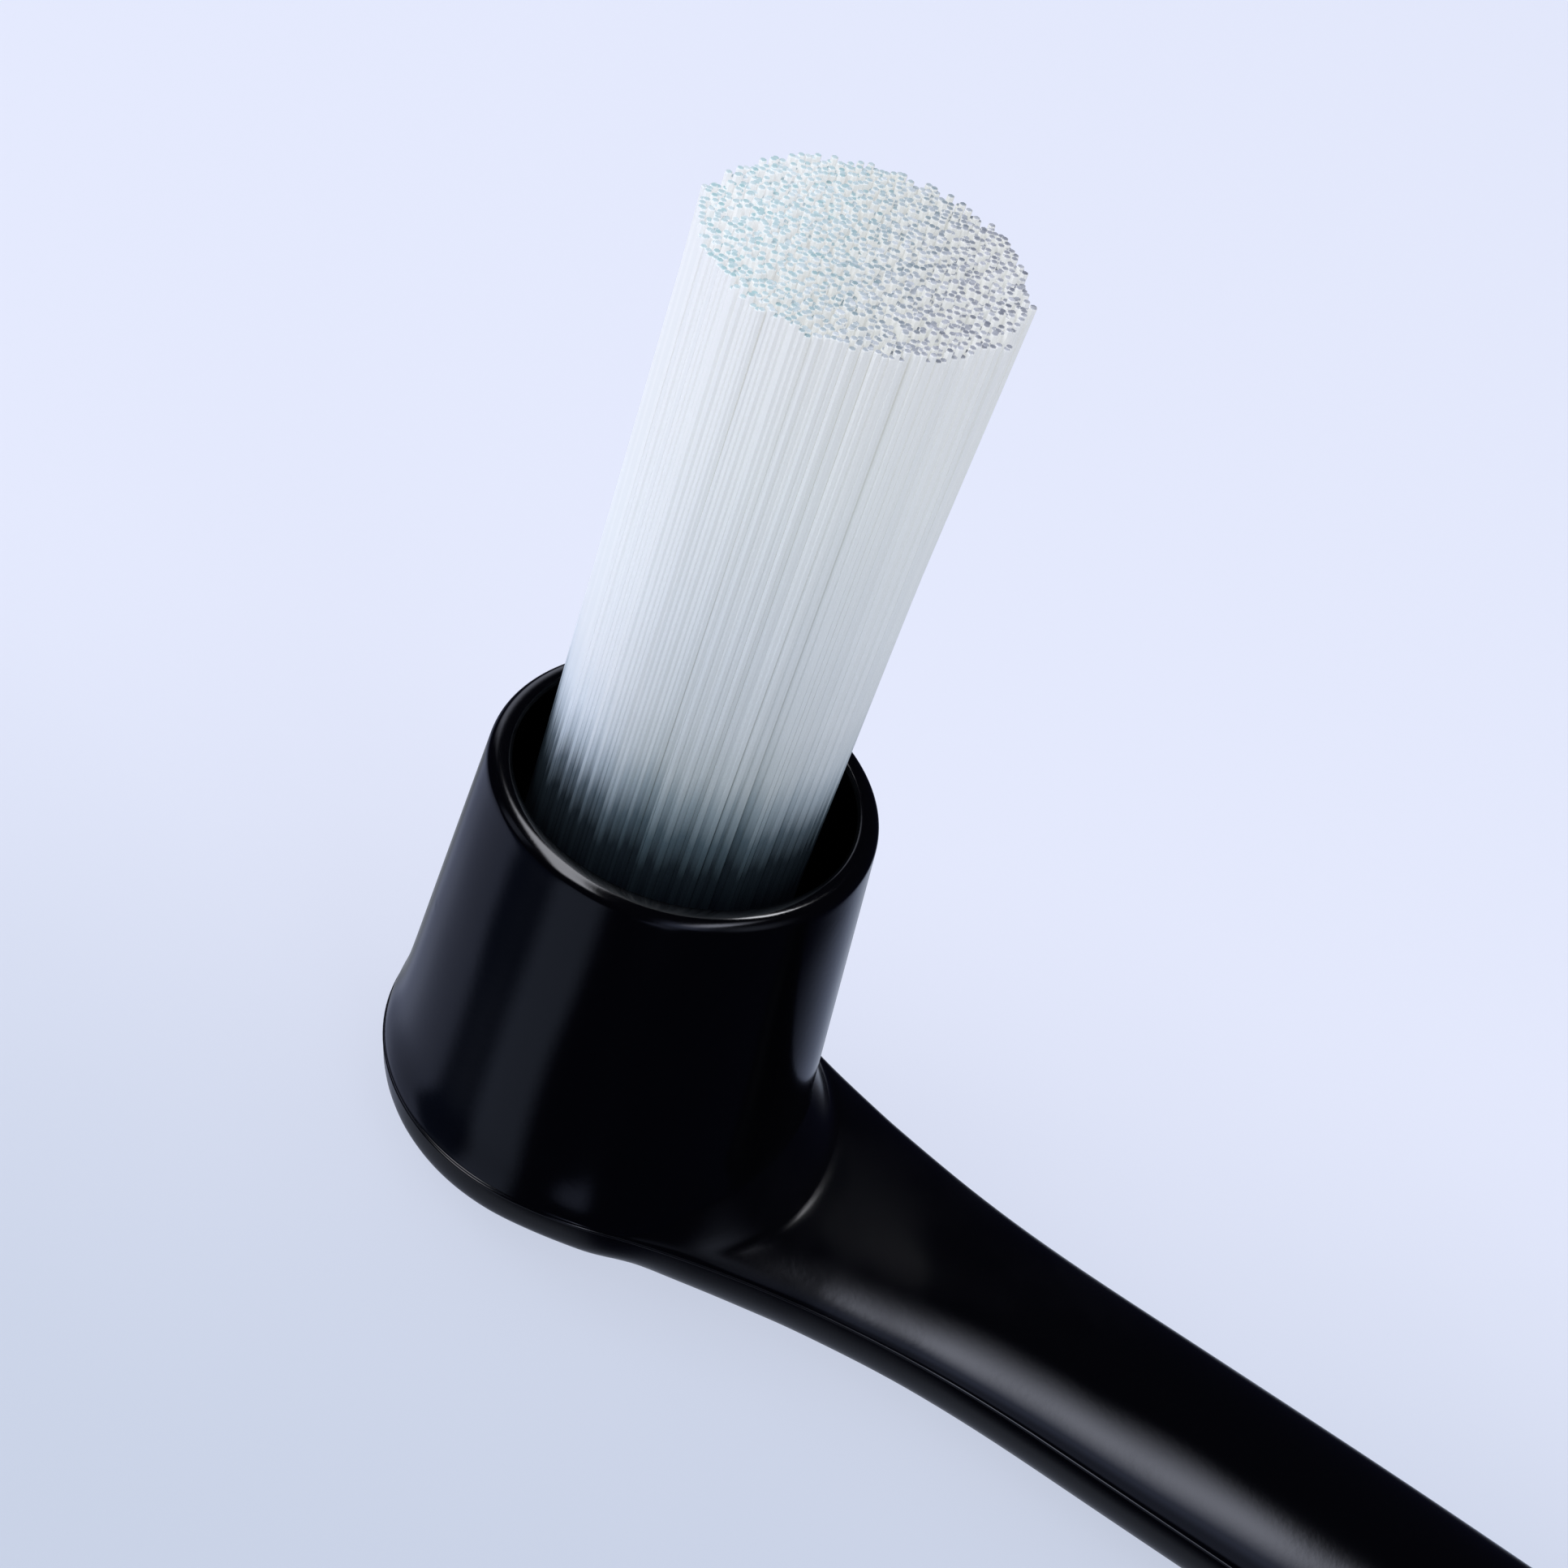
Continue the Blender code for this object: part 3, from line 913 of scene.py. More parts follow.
@dataclass
class Handle:
    """The one moulding: closed cup, elbow, neck, grip and tail, with its parting line."""

    cup: CupForm = field(default_factory=CupForm)
    columns: int = 48
    underside_shares: tuple[float, ...] = (0.22, 0.48, 0.75, 1.0)
    wall_heights: tuple[float, ...] = (0.2, 0.45, 0.75, 1.35, 2.6, 4.6, 7.6, 11.0, 14.4, 17.0, 18.6, 19.4)
    rim_angles: tuple[float, ...] = (0.0, 22.5, 45.0, 67.5, 90.0)
    lip_angles: tuple[float, ...] = (90.0, 60.0, 30.0, 0.0)
    bore_shares: tuple[float, ...] = (0.93, 0.75, 0.5, 0.25, 0.08)
    corner_steps: tuple[tuple[float, float], ...] = ((0.0, 1.0), (0.3, 0.3), (1.0, 0.0))
    floor_shares: tuple[float, ...] = (0.6, 0.25)
    window_half: int = 9
    window_blend: float = 3.0
    edge_steps: int = 4
    window_rise_end: float = 7.0 * MM
    join_distance: float = 17.0 * MM
    join_steps: int = 6
    grip_distances: tuple[float, ...] = (
        21.0, 25.0, 30.0, 36.0, 43.0, 51.0, 60.0, 71.0, 83.0, 96.0, 109.0, 120.0, 129.0)
    hole_half: int = 3
    beside_hole: tuple[float, ...] = (1.75, 1.3)
    tail_shares: tuple[float, ...] = (0.76, 0.5, 0.28, 0.12, 0.035)
    bore_cuts: int = 3
    spread_start: float = 118.0 * MM
    spread_end: float = 136.0 * MM
    bead_radius: float = 0.10 * MM
    bead_sink: float = 0.045 * MM
    bead_cup_steps: int = 90
    bead_grip_steps: int = 70
    bead_grip_crowding: float = 1.3
    bead_tail_steps: int = 14
    levels: int = 2
    grip: GripForm = field(init=False)
    hole: HangingHole = field(init=False)
    shaper: Shaper = field(init=False)
    flat_row: int = field(init=False)
    parting_row: int = field(init=False)
    grip_rows: dict[float, int] = field(init=False, default_factory=dict)

    def __post_init__(self) -> None:
        """Work out the grip and its hole from the cup."""
        self.grip = GripForm(self.cup)
        self.hole = HangingHole(self.grip)

    # Cup

    def column_angle(self, column: int) -> float:
        """Angle of a column round the cup, 0 towards the grip."""
        return FULL_TURN * column / self.columns

    def signed_column(self, column: int) -> int:
        """A column's number counted from the one towards the grip, to both sides."""
        return (column + self.columns // 2) % self.columns - self.columns // 2

    def underside_height(self, x: float) -> float:
        """Height of the cup's underside, which bends down into the neck's past the elbow's start.

        Args:
            x: Where under the cup.

        Returns:
            The height.
        """
        if x <= self.grip.elbow_start:
            return -self.cup.base_depth
        distance = self.grip.distance_at(x, -self.cup.base_depth)
        return self.grip.off_centre(distance, rise=-self.grip.depth_below(distance)).z

    def web_line(self, column: int) -> float:
        """Height above the parting line at which the neck's back meets the cup's wall.

        Args:
            column: The column of the cup's wall.

        Returns:
            The height.
        """
        signed = self.signed_column(column)
        angle = self.column_angle(column)
        parting = self.grip.parting_height(self.cup.foot_radius() * math.cos(angle))
        if abs(signed) >= self.window_half:
            return parting
        radius = self.cup.wall_radius(self.grip.web_fillet)
        x, y = radius * math.cos(angle), radius * math.sin(angle)
        distance = self.grip.distance_at(x)
        half_width = self.grip.half_width(distance)
        up = math.sqrt(max(1.0 - (y / half_width) ** 2, 0.0))
        rise = (self.grip.height_above(distance) + self.grip.web_fillet) * up
        back = self.grip.centre_line(distance)[1] + rise
        return mix(parting, back, ease((self.window_half - abs(signed)) / self.window_blend))

    def ring(self, radius: float, height: float) -> list[Vector]:
        """A level ring of the cup."""
        return [on_circle(radius, self.column_angle(column), height) for column in range(self.columns)]

    def underside_ring(self, radius: float) -> list[Vector]:
        """A ring of the cup's underside, bent with the elbow."""
        points = self.ring(radius, 0.0)
        return [Vector((point.x, point.y, self.underside_height(point.x))) for point in points]

    def wall_ring(self, height: float) -> list[Vector]:
        """A ring of the cup's outer wall, raised towards the grip where the neck joins it.

        Args:
            height: Its height where nothing raises it.

        Returns:
            The ring's points.
        """
        points = []
        for column in range(self.columns):
            rise = self.web_line(column) * max(1.0 - height / self.window_rise_end, 0.0)
            radius = self.cup.wall_radius(height + rise)
            points.append(on_circle(radius, self.column_angle(column), height + rise))
        return points

    def edge_ring(self, share: float) -> list[Vector]:
        """A ring of the rounding between the underside and the parting line.

        Args:
            share: How far round, from 0 at the underside to 1 at the parting line.

        Returns:
            The ring's points.
        """
        cup = self.cup
        angle = QUARTER_TURN * (1.0 - share)
        radius = cup.foot_radius() - cup.base_edge * (1.0 - math.cos(angle))
        points = self.ring(radius, cup.base_edge - cup.base_depth - cup.base_edge * math.sin(angle))
        for point in points:
            underside = self.underside_height(point.x) + cup.base_depth
            point.z += mix(underside, self.grip.parting_height(point.x), share)
        return points

    def shape_cup(self) -> None:
        """Model the closed cup from the middle of its underside, over the rim and down the bore."""
        flat_radius = self.cup.foot_radius() - self.cup.base_edge
        flat_rings = [self.underside_ring(share * flat_radius) for share in self.underside_shares]
        self.shaper = Shaper("handle_moulding", flat_rings[0])
        for ring in flat_rings[1:]:
            self.flat_row = self.shaper.draw_out(ring)
        for step in range(1, self.edge_steps):
            self.shaper.draw_out(self.edge_ring(step / self.edge_steps))
        self.parting_row = self.shaper.draw_out(self.wall_ring(0.0))
        for height in self.wall_heights:
            self.shaper.draw_out(self.wall_ring(height * MM))
        self.shape_rim()
        self.shape_bore()

    def shape_rim(self) -> None:
        """Round the rim over, outside and inside."""
        cup = self.cup
        outside = (self.rim_angles, cup.rim_edge, cup.wall_radius(cup.height - cup.rim_edge), -1.0)
        inside = (self.lip_angles, cup.lip_edge, cup.bore_radius(cup.height), 1.0)
        for angles, edge, radius, way in (outside, inside):
            for angle in angles:
                out = edge * (1.0 - math.cos(math.radians(angle)))
                down = edge * (1.0 - math.sin(math.radians(angle)))
                self.shaper.draw_out(self.ring(radius + way * out, cup.height - down))

    def shape_bore(self) -> None:
        """Draw the bore down to its floor and close it."""
        cup = self.cup
        floor = cup.bore_floor()
        corner = cup.bore_corner
        heights = [mix(floor, cup.height, share) for share in self.bore_shares]
        radius = cup.bore_radius(floor)
        rings = [(cup.bore_radius(height), height) for height in heights]
        rings += [(radius - inward * corner, floor + up * corner) for inward, up in self.corner_steps]
        rings += [(share * radius, floor) for share in self.floor_shares]
        for ring in rings:
            self.shaper.draw_out(self.ring(*ring))
        self.shaper.close()

    # Neck and grip

    def back_count(self) -> int:
        """Steps across the back of the neck's rings."""
        return 2 * self.window_half

    def under_count(self) -> int:
        """Steps across the underside of the neck's rings."""
        return 2 * self.window_half + 2 * self.edge_steps

    def window_place(self, place: int, row: int) -> int:
        """The number round the neck's ring of a vertex on the window's edge.

        The ring runs over the back from the near side to the far side, and home across the underside.

        Args:
            place: The vertex's column.
            row: The vertex's row.

        Returns:
            Its number.
        """
        signed = self.signed_column(place)
        if row == self.parting_row:
            return signed + self.window_half
        if row == self.flat_row:
            return self.back_count() + self.edge_steps + self.window_half - signed
        below = self.parting_row - row
        if signed > 0:
            return self.back_count() + below
        return self.back_count() + self.under_count() - below

    def spread_places(self, distance: float) -> tuple[list[float], list[float]]:
        """Even angles over the back and shares across the underside, drawn apart for the hole at the tail.

        Args:
            distance: Distance of the ring from the cup's axis.

        Returns:
            The back's angles, from the near side to the far side, and the underside's shares.
        """
        spread = ease((distance - self.spread_start) / (self.spread_end - self.spread_start))
        centre = self.hole.centre()
        reach = self.hole.outer()
        half_angle = math.asin(reach / self.grip.half_width(centre))
        share = self.grip.underside_share(centre, reach)
        back = self.places_across(self.window_half, half_angle, QUARTER_TURN, spread)
        under = self.places_across(self.under_count() // 2, 0.5 - share, 0.5, spread)
        return [QUARTER_TURN - place for place in back], [0.5 + place for place in under]

    def places_across(self, half: int, hole_reach: float, full: float, spread: float) -> list[float]:
        """Places from one side of the grip to the other, 0 in the middle.

        Args:
            half: Steps from the middle to a side.
            hole_reach: How far the hole reaches from the middle.
            full: How far the side lies from the middle.
            spread: How far the places are drawn apart, from 0, even, to 1, as the hole needs them.

        Returns:
            The places.
        """
        places = []
        for step in range(-half, half + 1):
            size = abs(step)
            if size <= self.hole_half:
                drawn = hole_reach * size / self.hole_half
            else:
                drawn = mix(hole_reach, full, (size - self.hole_half) / (half - self.hole_half))
            places.append(mix(full * step / half, math.copysign(drawn, step), spread))
        return places

    def grip_ring(self, distance: float) -> list[Vector]:
        """A square ring of the neck or grip.

        Args:
            distance: Distance from the cup's axis.

        Returns:
            The ring's points, over the back to the far side and home across the underside.
        """
        back, under = self.spread_places(distance)
        points = [self.grip.back_point(distance, angle) for angle in back]
        points += [self.grip.underside_point(distance, share) for share in under[1:-1]]
        return points

    def join_ring(self, edge: Sequence[Vector], share: float) -> list[Vector]:
        """A ring between the window's edge and the first square ring.

        Args:
            edge: The window's edge.
            share: How far along, from 0 at the edge to 1 at the square ring.

        Returns:
            The ring's points, on the neck's surface.
        """
        grip = self.grip
        back, under = self.spread_places(self.join_distance)
        points = []
        for index, point in enumerate(edge):
            if index <= self.back_count():
                start = grip.distance_at(point.x)
                angle = math.acos(min(max(point.y / grip.half_width(start), -1.0), 1.0))
                distance = mix(start, self.join_distance, share)
                points.append(grip.back_point(distance, mix(angle, back[index], share)))
            else:
                step = index - self.back_count()
                rise = point.z - grip.centre_line(point.x)[1]
                start = grip.distance_at(point.x, rise)
                if step < self.edge_steps or step > self.under_count() - self.edge_steps:
                    rounded, flat = grip.underside_lengths(start)
                    near = min(step, self.under_count() - step)
                    first = rounded * near / self.edge_steps / (2.0 * rounded + flat)
                    first = first if step < self.edge_steps else 1.0 - first
                else:
                    first = grip.underside_share(start, point.y)
                distance = mix(start, self.join_distance, share)
                points.append(grip.underside_point(distance, mix(first, under[step], share)))
        return points

    def ring_distances(self) -> list[float]:
        """Distances of the square rings past the join.

        Returns:
            Those of the grip, then those that the hole needs, then those of the rounded end.
        """
        centre = self.hole.centre()
        reach = self.hole.outer()
        plain = [value * MM for value in self.grip_distances]
        beside = [centre - share * reach for share in self.beside_hole]
        steps = range(-self.hole_half, self.hole_half + 1)
        over_hole = [centre + reach * step / self.hole_half for step in steps]
        tail_length = self.grip.length - (centre + reach)
        tail = [self.grip.length - tail_length * share for share in self.tail_shares]
        return plain + beside + over_hole + tail

    def shape_grip(self) -> None:
        """Cut a window in the side of the cup's foot and draw the neck and grip out of it."""
        shaper = self.shaper
        half = self.window_half
        shaper.cut_window(lambda place, row: abs(self.signed_column(place)) <= half
                          and self.flat_row <= row <= self.parting_row)
        shaper.renumber(lambda place, row, _point: self.window_place(place, row))
        mesh = shaper.mesh()
        place, _row = shaper.layers(mesh)
        edge = sorted((vertex for vertex in mesh.verts if vertex.select), key=lambda vertex: vertex[place])
        edge_points = [vertex.co.copy() for vertex in edge]
        for step in range(1, self.join_steps + 1):
            shaper.draw_out(self.join_ring(edge_points, step / self.join_steps))
        for distance in self.ring_distances():
            self.grip_rows[distance] = shaper.draw_out(self.grip_ring(distance))
        shaper.close()

    def hole_rim(self, upper: bool, out: float, sunk: float) -> list[Vector]:
        """A ring of the hole's mouth.

        Args:
            upper: Whether it is the mouth in the back, and not the one in the underside.
            out: How far it stands out from the bore.
            sunk: How deep it lies under the surface.

        Returns:
            The ring's points.
        """
        grip = self.grip
        radius = self.hole.radius + out
        points = []
        count = 8 * self.hole_half
        for index in range(count):
            angle = FULL_TURN * index / count
            y = radius * math.sin(angle)
            distance = self.hole.centre() + radius * math.cos(angle)
            if upper:
                surface = grip.back_at(distance, y)
            else:
                surface = grip.underside_point(distance, grip.underside_share(distance, y))
            inward = grip.off_centre(distance, y) - grip.off_centre(distance, y, 1.0)
            points.append(surface + inward.normalized() * (sunk if upper else -sunk))
        return points

    def shape_hole(self) -> None:
        """Open the tail above and below, round both mouths and join them."""
        shaper = self.shaper
        hole = self.hole
        start = hole.centre() - hole.outer()
        first = self.grip_rows[min(self.grip_rows, key=lambda value: abs(value - start))]
        rows = range(first, first + 2 * self.hole_half + 1)
        middles = (self.window_half, self.back_count() + self.under_count() // 2)
        centre = self.grip.off_centre(hole.centre())
        side = self.grip.off_centre(hole.centre(), rise=1.0) - centre
        forward = Vector((0.0, 1.0, 0.0)).cross(side)
        count = 8 * self.hole_half

        def number(_place: int, _row: int, point: Vector) -> int:
            """Number of a point round the hole, by its angle."""
            angle = math.atan2(point.y - centre.y, (point - centre).dot(forward))
            return round(angle / FULL_TURN * count) % count

        for middle, upper in zip(middles, (True, False)):
            shaper.cut_window(lambda place, row: abs(place - middle) <= self.hole_half and row in rows)
            shaper.select_open(lambda point: (point - centre).dot(side) * (1.0 if upper else -1.0) > 0.0
                               and (point - centre).length < 2.0 * hole.outer())
            shaper.renumber(number)
            shaper.place_selected(self.hole_rim(upper, hole.rounding, 0.0))
            for out, sunk in hole.mouth_steps[1:]:
                shaper.draw_out(self.hole_rim(upper, out * hole.rounding, sunk * hole.rounding))
        shaper.select_open()
        bpy.ops.mesh.bridge_edge_loops(number_cuts=self.bore_cuts)

    # Parting line

    def parting_points(self) -> list[Vector]:
        """Points of the fine raised line where the mould's halves met, round the whole handle.

        Returns:
            The closed line's points, round the cup, out along the near side and home along the far side.
        """
        grip = self.grip
        foot = self.cup.foot_radius() - self.bead_sink
        tangent, _flare_end = grip.flare()
        leave = math.acos(tangent / self.cup.foot_radius())
        points = []
        for step in range(self.bead_cup_steps + 1):
            point = on_circle(foot, leave + (FULL_TURN - 2.0 * leave) * step / self.bead_cup_steps, 0.0)
            point.z = grip.parting_height(point.x)
            points.append(point)
        start = grip.distance_at(tangent)
        tail = grip.length - grip.tail_rounding
        shares = [step / self.bead_grip_steps for step in range(1, self.bead_grip_steps + 1)]
        along = [mix(start, tail, share ** self.bead_grip_crowding) for share in shares]
        turns = [QUARTER_TURN * step / self.bead_tail_steps for step in range(1, self.bead_tail_steps + 1)]
        along += [tail + grip.tail_rounding * math.sin(turn) for turn in turns]
        near = [grip.off_centre(value, -max(grip.half_width(value) - self.bead_sink, 0.0)) for value in along]
        far = [Vector((point.x, -point.y, point.z)) for point in reversed(near[:-1])]
        return points + near + far

    def shape_bead(self) -> bpy.types.Object:
        """Model the parting line as a thin closed tube that stands proud of the surface by a hair.

        Returns:
            The finished line.
        """
        points = self.parting_points()
        curve = bpy.data.curves.new("parting_line", "CURVE")
        curve.dimensions = "3D"
        spline = curve.splines.new("POLY")
        spline.points.add(len(points) - 1)
        for target, point in zip(spline.points, points):
            target.co = (*point, 1.0)
        spline.use_cyclic_u = True
        curve.bevel_depth = self.bead_radius
        curve.bevel_resolution = 2
        only(linked("parting_line", curve))
        bpy.ops.object.convert(target="MESH")
        bpy.ops.object.shade_smooth()
        return bpy.context.object

    def build(self, place: Matrix, material: bpy.types.Material) -> None:
        """Model the handle and its parting line, and dress them.

        Args:
            place: The cup's frame in the brush's frame.
            material: The handle's finish.
        """
        self.shape_cup()
        self.shape_grip()
        self.shape_hole()
        handle = self.shaper.finish(self.levels)
        settle(handle, place)
        dress(handle, material, Slot.HANDLE, "handle")
        bead = self.shape_bead()
        settle(bead, place)
        dress(bead, material, Slot.HANDLE)


# Bristles


@dataclass
class Bristles:
    """The bundle of filaments on the top slice of its root plug."""

    ATTRIBUTE = "filament"

    cup: CupForm = field(default_factory=CupForm)
    bundle_radius: float = 7.2 * MM
    thickness: float = 0.36 * MM
    rings: int = 21
    packing: float = 0.73
    shuffle: float = 0.35
    outer_shuffle: float = 0.15
    reach: float = 31.95 * MM
    start: float = 5.9 * MM
    foot_offset: float = -0.45 * MM
    lean: float = 0.93 * MM
    spread: float = 0.32 * MM
    wander: float = 0.09 * MM
    bow: float = 0.05 * MM
    unevenness: float = 0.5 * MM
    clump_waves: tuple[tuple[float, float], ...] = ((19.0, 1.3), (43.0, 4.0), (71.0, 2.2))
    clump_shift: float = 0.014
    own_shift: float = 0.022
    chamfer: float = 0.05 * MM
    slice_depth: float = 1.2 * MM
    slice_inset: float = 0.1 * MM
    slice_sides: int = 48
    stray_lean: float = 0.45 * MM
    stray_shortness: float = 0.5 * MM
    stray_angles: tuple[float, ...] = (-17.0, 12.0, 168.0)
    stray_width: float = 1.2
    sides: int = 6
    spans: int = 3
    smooth_angle: float = 40.0
    seed: int = 11

    def pitch(self) -> float:
        """Spacing of the rings."""
        return (self.bundle_radius - self.thickness / 2.0) / self.rings

    def length(self) -> float:
        """Length of a filament from its foot to its tip."""
        return self.reach + self.cup.height - self.start

    def shape_filament(self) -> bpy.types.Object:
        """Model one straight filament, with a chamfered cut end.

        Returns:
            The filament, with its foot at the origin.
        """
        deselect_all()
        bpy.ops.mesh.primitive_circle_add(vertices=self.sides, radius=self.thickness / 2.0, fill_type="NGON")
        item = bpy.context.object
        item.name = "filament"
        bpy.ops.object.mode_set(mode="EDIT")
        body = self.length() - self.chamfer
        for _span in range(self.spans):
            bpy.ops.mesh.extrude_edges_move(TRANSFORM_OT_translate={"value": (0.0, 0.0, body / self.spans)})
        bpy.ops.mesh.extrude_edges_move(TRANSFORM_OT_translate={"value": (0.0, 0.0, self.chamfer)})
        narrow = 1.0 - self.chamfer / (self.thickness / 2.0)
        bpy.ops.transform.resize(value=(narrow, narrow, 1.0))
        bpy.ops.mesh.edge_face_add()
        bpy.ops.mesh.select_all(action="SELECT")
        bpy.ops.mesh.normals_make_consistent(inside=False)
        bpy.ops.object.mode_set(mode="OBJECT")
        return item

    def roots(self, chance: random.Random) -> list[tuple[float, float]]:
        """Radius and angle of each filament's foot.

        Args:
            chance: The seeded source of chance.

        Returns:
            One pair for each filament, ring by ring.
        """
        roots = [(0.0, 0.0)]
        for ring in range(1, self.rings + 1):
            count = round(FULL_TURN * ring * self.pitch() / (self.packing * self.thickness))
            turn = chance.uniform(0.0, FULL_TURN)
            shuffle = self.shuffle if ring < self.rings else self.outer_shuffle
            for index in range(count):
                angle = turn + FULL_TURN * (index + chance.uniform(-shuffle, shuffle)) / count
                inward = chance.uniform(0.0, 2.0 * shuffle)
                roots.append(((ring - inward) * self.pitch(), angle))
        return roots

    def shift(self, root: tuple[float, float], own: float) -> float:
        """How far a filament's shading sits up or down its length, alike for neighbours so that strands show.

        Args:
            root: Radius and angle of the filament's foot.
            own: The filament's own chance value.

        Returns:
            The shift, as a share of the length.
        """
        radius, angle = root
        waves = [math.cos(rate * angle + start + radius / self.pitch()) for rate, start in self.clump_waves]
        return self.clump_shift * sum(waves) / len(waves) + self.own_shift * (own - 0.5)

    def is_stray(self, radius: float, angle: float) -> bool:
        """Whether a filament is one of the few that stand away from the bundle.

        Args:
            radius: Radius of its foot.
            angle: Angle of its foot.

        Returns:
            True for the outer filaments next to a stray's angle.
        """
        reach = self.stray_width * self.pitch() / self.bundle_radius
        offsets = (math.remainder(angle - math.radians(stray), FULL_TURN) for stray in self.stray_angles)
        return radius > (self.rings - 0.5) * self.pitch() and any(abs(offset) < reach for offset in offsets)

    def bent(self, point: Vector, root: tuple[float, float], drift: Vector, bow: Vector) -> Vector:
        """Where a point of the straight filament goes on a filament of the bundle.

        Args:
            point: The point on the straight filament, whose foot is at the origin.
            root: Radius and angle of the filament's foot.
            drift: How far the tip wanders.
            bow: How far the middle bows out.

        Returns:
            The point in the cup's frame.
        """
        radius, angle = root
        share = point.z / self.length()
        out = radius + self.spread * radius / self.bundle_radius * share
        if self.is_stray(radius, angle):
            out += self.stray_lean * share ** 3
            point = Vector((point.x, point.y, point.z * (1.0 - self.stray_shortness / self.length())))
        sway = drift * share + bow * math.sin(HALF_TURN * share)
        base = Vector((self.foot_offset + self.lean * share, 0.0, self.start))
        return base + on_circle(out, angle, 0.0) + sway + point

    def build(self, place: Matrix, material: bpy.types.Material) -> None:
        """Copy the filament over the bundle, each with its own bow and length, and dress the bundle.

        Args:
            place: The cup's frame in the brush's frame.
            material: The nylon.
        """
        chance = random.Random(self.seed)
        pattern = self.shape_filament()
        bundle = bmesh.new()
        layer = bundle.verts.layers.float_color.new(self.ATTRIBUTE)
        for root in self.roots(chance):
            drift = Vector((chance.uniform(-1.0, 1.0), chance.uniform(-1.0, 1.0), 0.0)) * self.wander
            bow = Vector((chance.uniform(-1.0, 1.0), chance.uniform(-1.0, 1.0), 0.0)) * self.bow
            own = chance.random()
            stretch = 1.0 - self.unevenness * chance.random() / self.length()
            self.add_copy(bundle, layer, pattern, root, (drift, bow), own, stretch)
        self.add_slice(bundle)
        bpy.data.objects.remove(pattern)
        mesh = bpy.data.meshes.new("bristle_filaments")
        bundle.to_mesh(mesh)
        bundle.free()
        item = linked("bristle_filaments", mesh)
        only(item)
        bpy.ops.object.shade_smooth_by_angle(angle=math.radians(self.smooth_angle))
        settle(item, place)
        dress(item, material, Slot.BRISTLES, "bristle_bundle")

    def add_copy(self, bundle: bmesh.types.BMesh, layer: object, pattern: bpy.types.Object,
                 root: tuple[float, float], sway: tuple[Vector, Vector], own: float, stretch: float) -> None:
        """Add one bent copy of the filament to the bundle.

        Args:
            bundle: The mesh that holds them all.
            layer: The attribute that the finish reads.
            pattern: The straight filament.
            root: Radius and angle of its foot.
            sway: Drift of the tip and bow of the middle.
            own: The filament's own chance value.
            stretch: Its length as a share of the pattern's.
        """
        tip = self.length()
        across = 0.5 + 0.5 * root[0] / self.bundle_radius * math.cos(root[1])
        shift = self.shift(root, own)
        copies = []
        for vertex in pattern.data.vertices:
            x, y, z = vertex.co
            copy = bundle.verts.new(self.bent(Vector((x, y, z * stretch)), root, *sway))
            copy[layer] = (own, z / tip + shift, float(z > tip - 0.5 * self.chamfer), across)
            copies.append(copy)
        for polygon in pattern.data.polygons:
            bundle.faces.new([copies[index] for index in polygon.vertices])

    def add_slice(self, bundle: bmesh.types.BMesh) -> None:
        """Add the slice of the plug that the filaments stand on.

        Args:
            bundle: The mesh that holds the filaments.
        """
        radius = self.bundle_radius - self.slice_inset
        place = Matrix.Translation((0.0, 0.0, self.start - 0.5 * self.slice_depth))
        bmesh.ops.create_cone(
            bundle, cap_ends=True, segments=self.slice_sides, radius1=radius, radius2=radius,
            depth=self.slice_depth, matrix=place)


# Stage, light and camera


@dataclass(frozen=True)
class Stage:
    """The pale surface that the brush lies on, with painted light that makes it paler the farther it lies
    from the camera.
    """

    half_size: float = 4.0
    height: float = -0.23 * MM
    far_colour: Colour = (0.785, 0.823, 0.982)
    near_colour: Colour = (0.590, 0.650, 0.790)
    slant: float = 0.35
    middle: float = 0.028
    far: float = 0.030
    near: float = -0.045
    cloud_scale: float = 30.0
    cloud_share: float = 0.01
    roughness: float = 0.75
    seen_share: float = 0.82

    def build(self) -> None:
        """Make the floor; the camera sees mostly its own pale colour, and the rest is lit and shaded.

        The black gloss of the photographed brush shows a dark room and not this surface, so gloss looks past.
        """
        deselect_all()
        bpy.ops.mesh.primitive_plane_add(size=2.0 * self.half_size, location=(0.0, 0.0, self.height))
        floor = bpy.context.object
        floor.name = "floor"
        floor.visible_glossy = False
        graph = Finish("pale_floor")
        place = graph.object_place()
        parts = graph.node("SeparateXYZ", {0: place})
        # Painted light: the floor's colour grows paler from near to far.
        depth = graph.output(parts, 1) - graph.output(parts, 0) * self.slant - self.middle
        cloud = (graph.noise(place, self.cloud_scale, 3.0) - 0.5) * self.cloud_share
        share = graph.span(depth + cloud, self.near, self.far)
        colour = graph.blend(share, self.near_colour, self.far_colour)
        graph.set(Base_Color=colour, Roughness=self.roughness)
        glow = graph.node("Emission", {"Color": colour, "Strength": 1.0})
        seen = graph.output(graph.node("LightPath"), "Is Camera Ray") * self.seen_share
        surface = graph.either(seen, graph.shader.outputs[0], glow.outputs[0])
        graph.feed(graph.tree.nodes["Material Output"].inputs["Surface"], surface)
        floor.data.materials.append(graph.material)


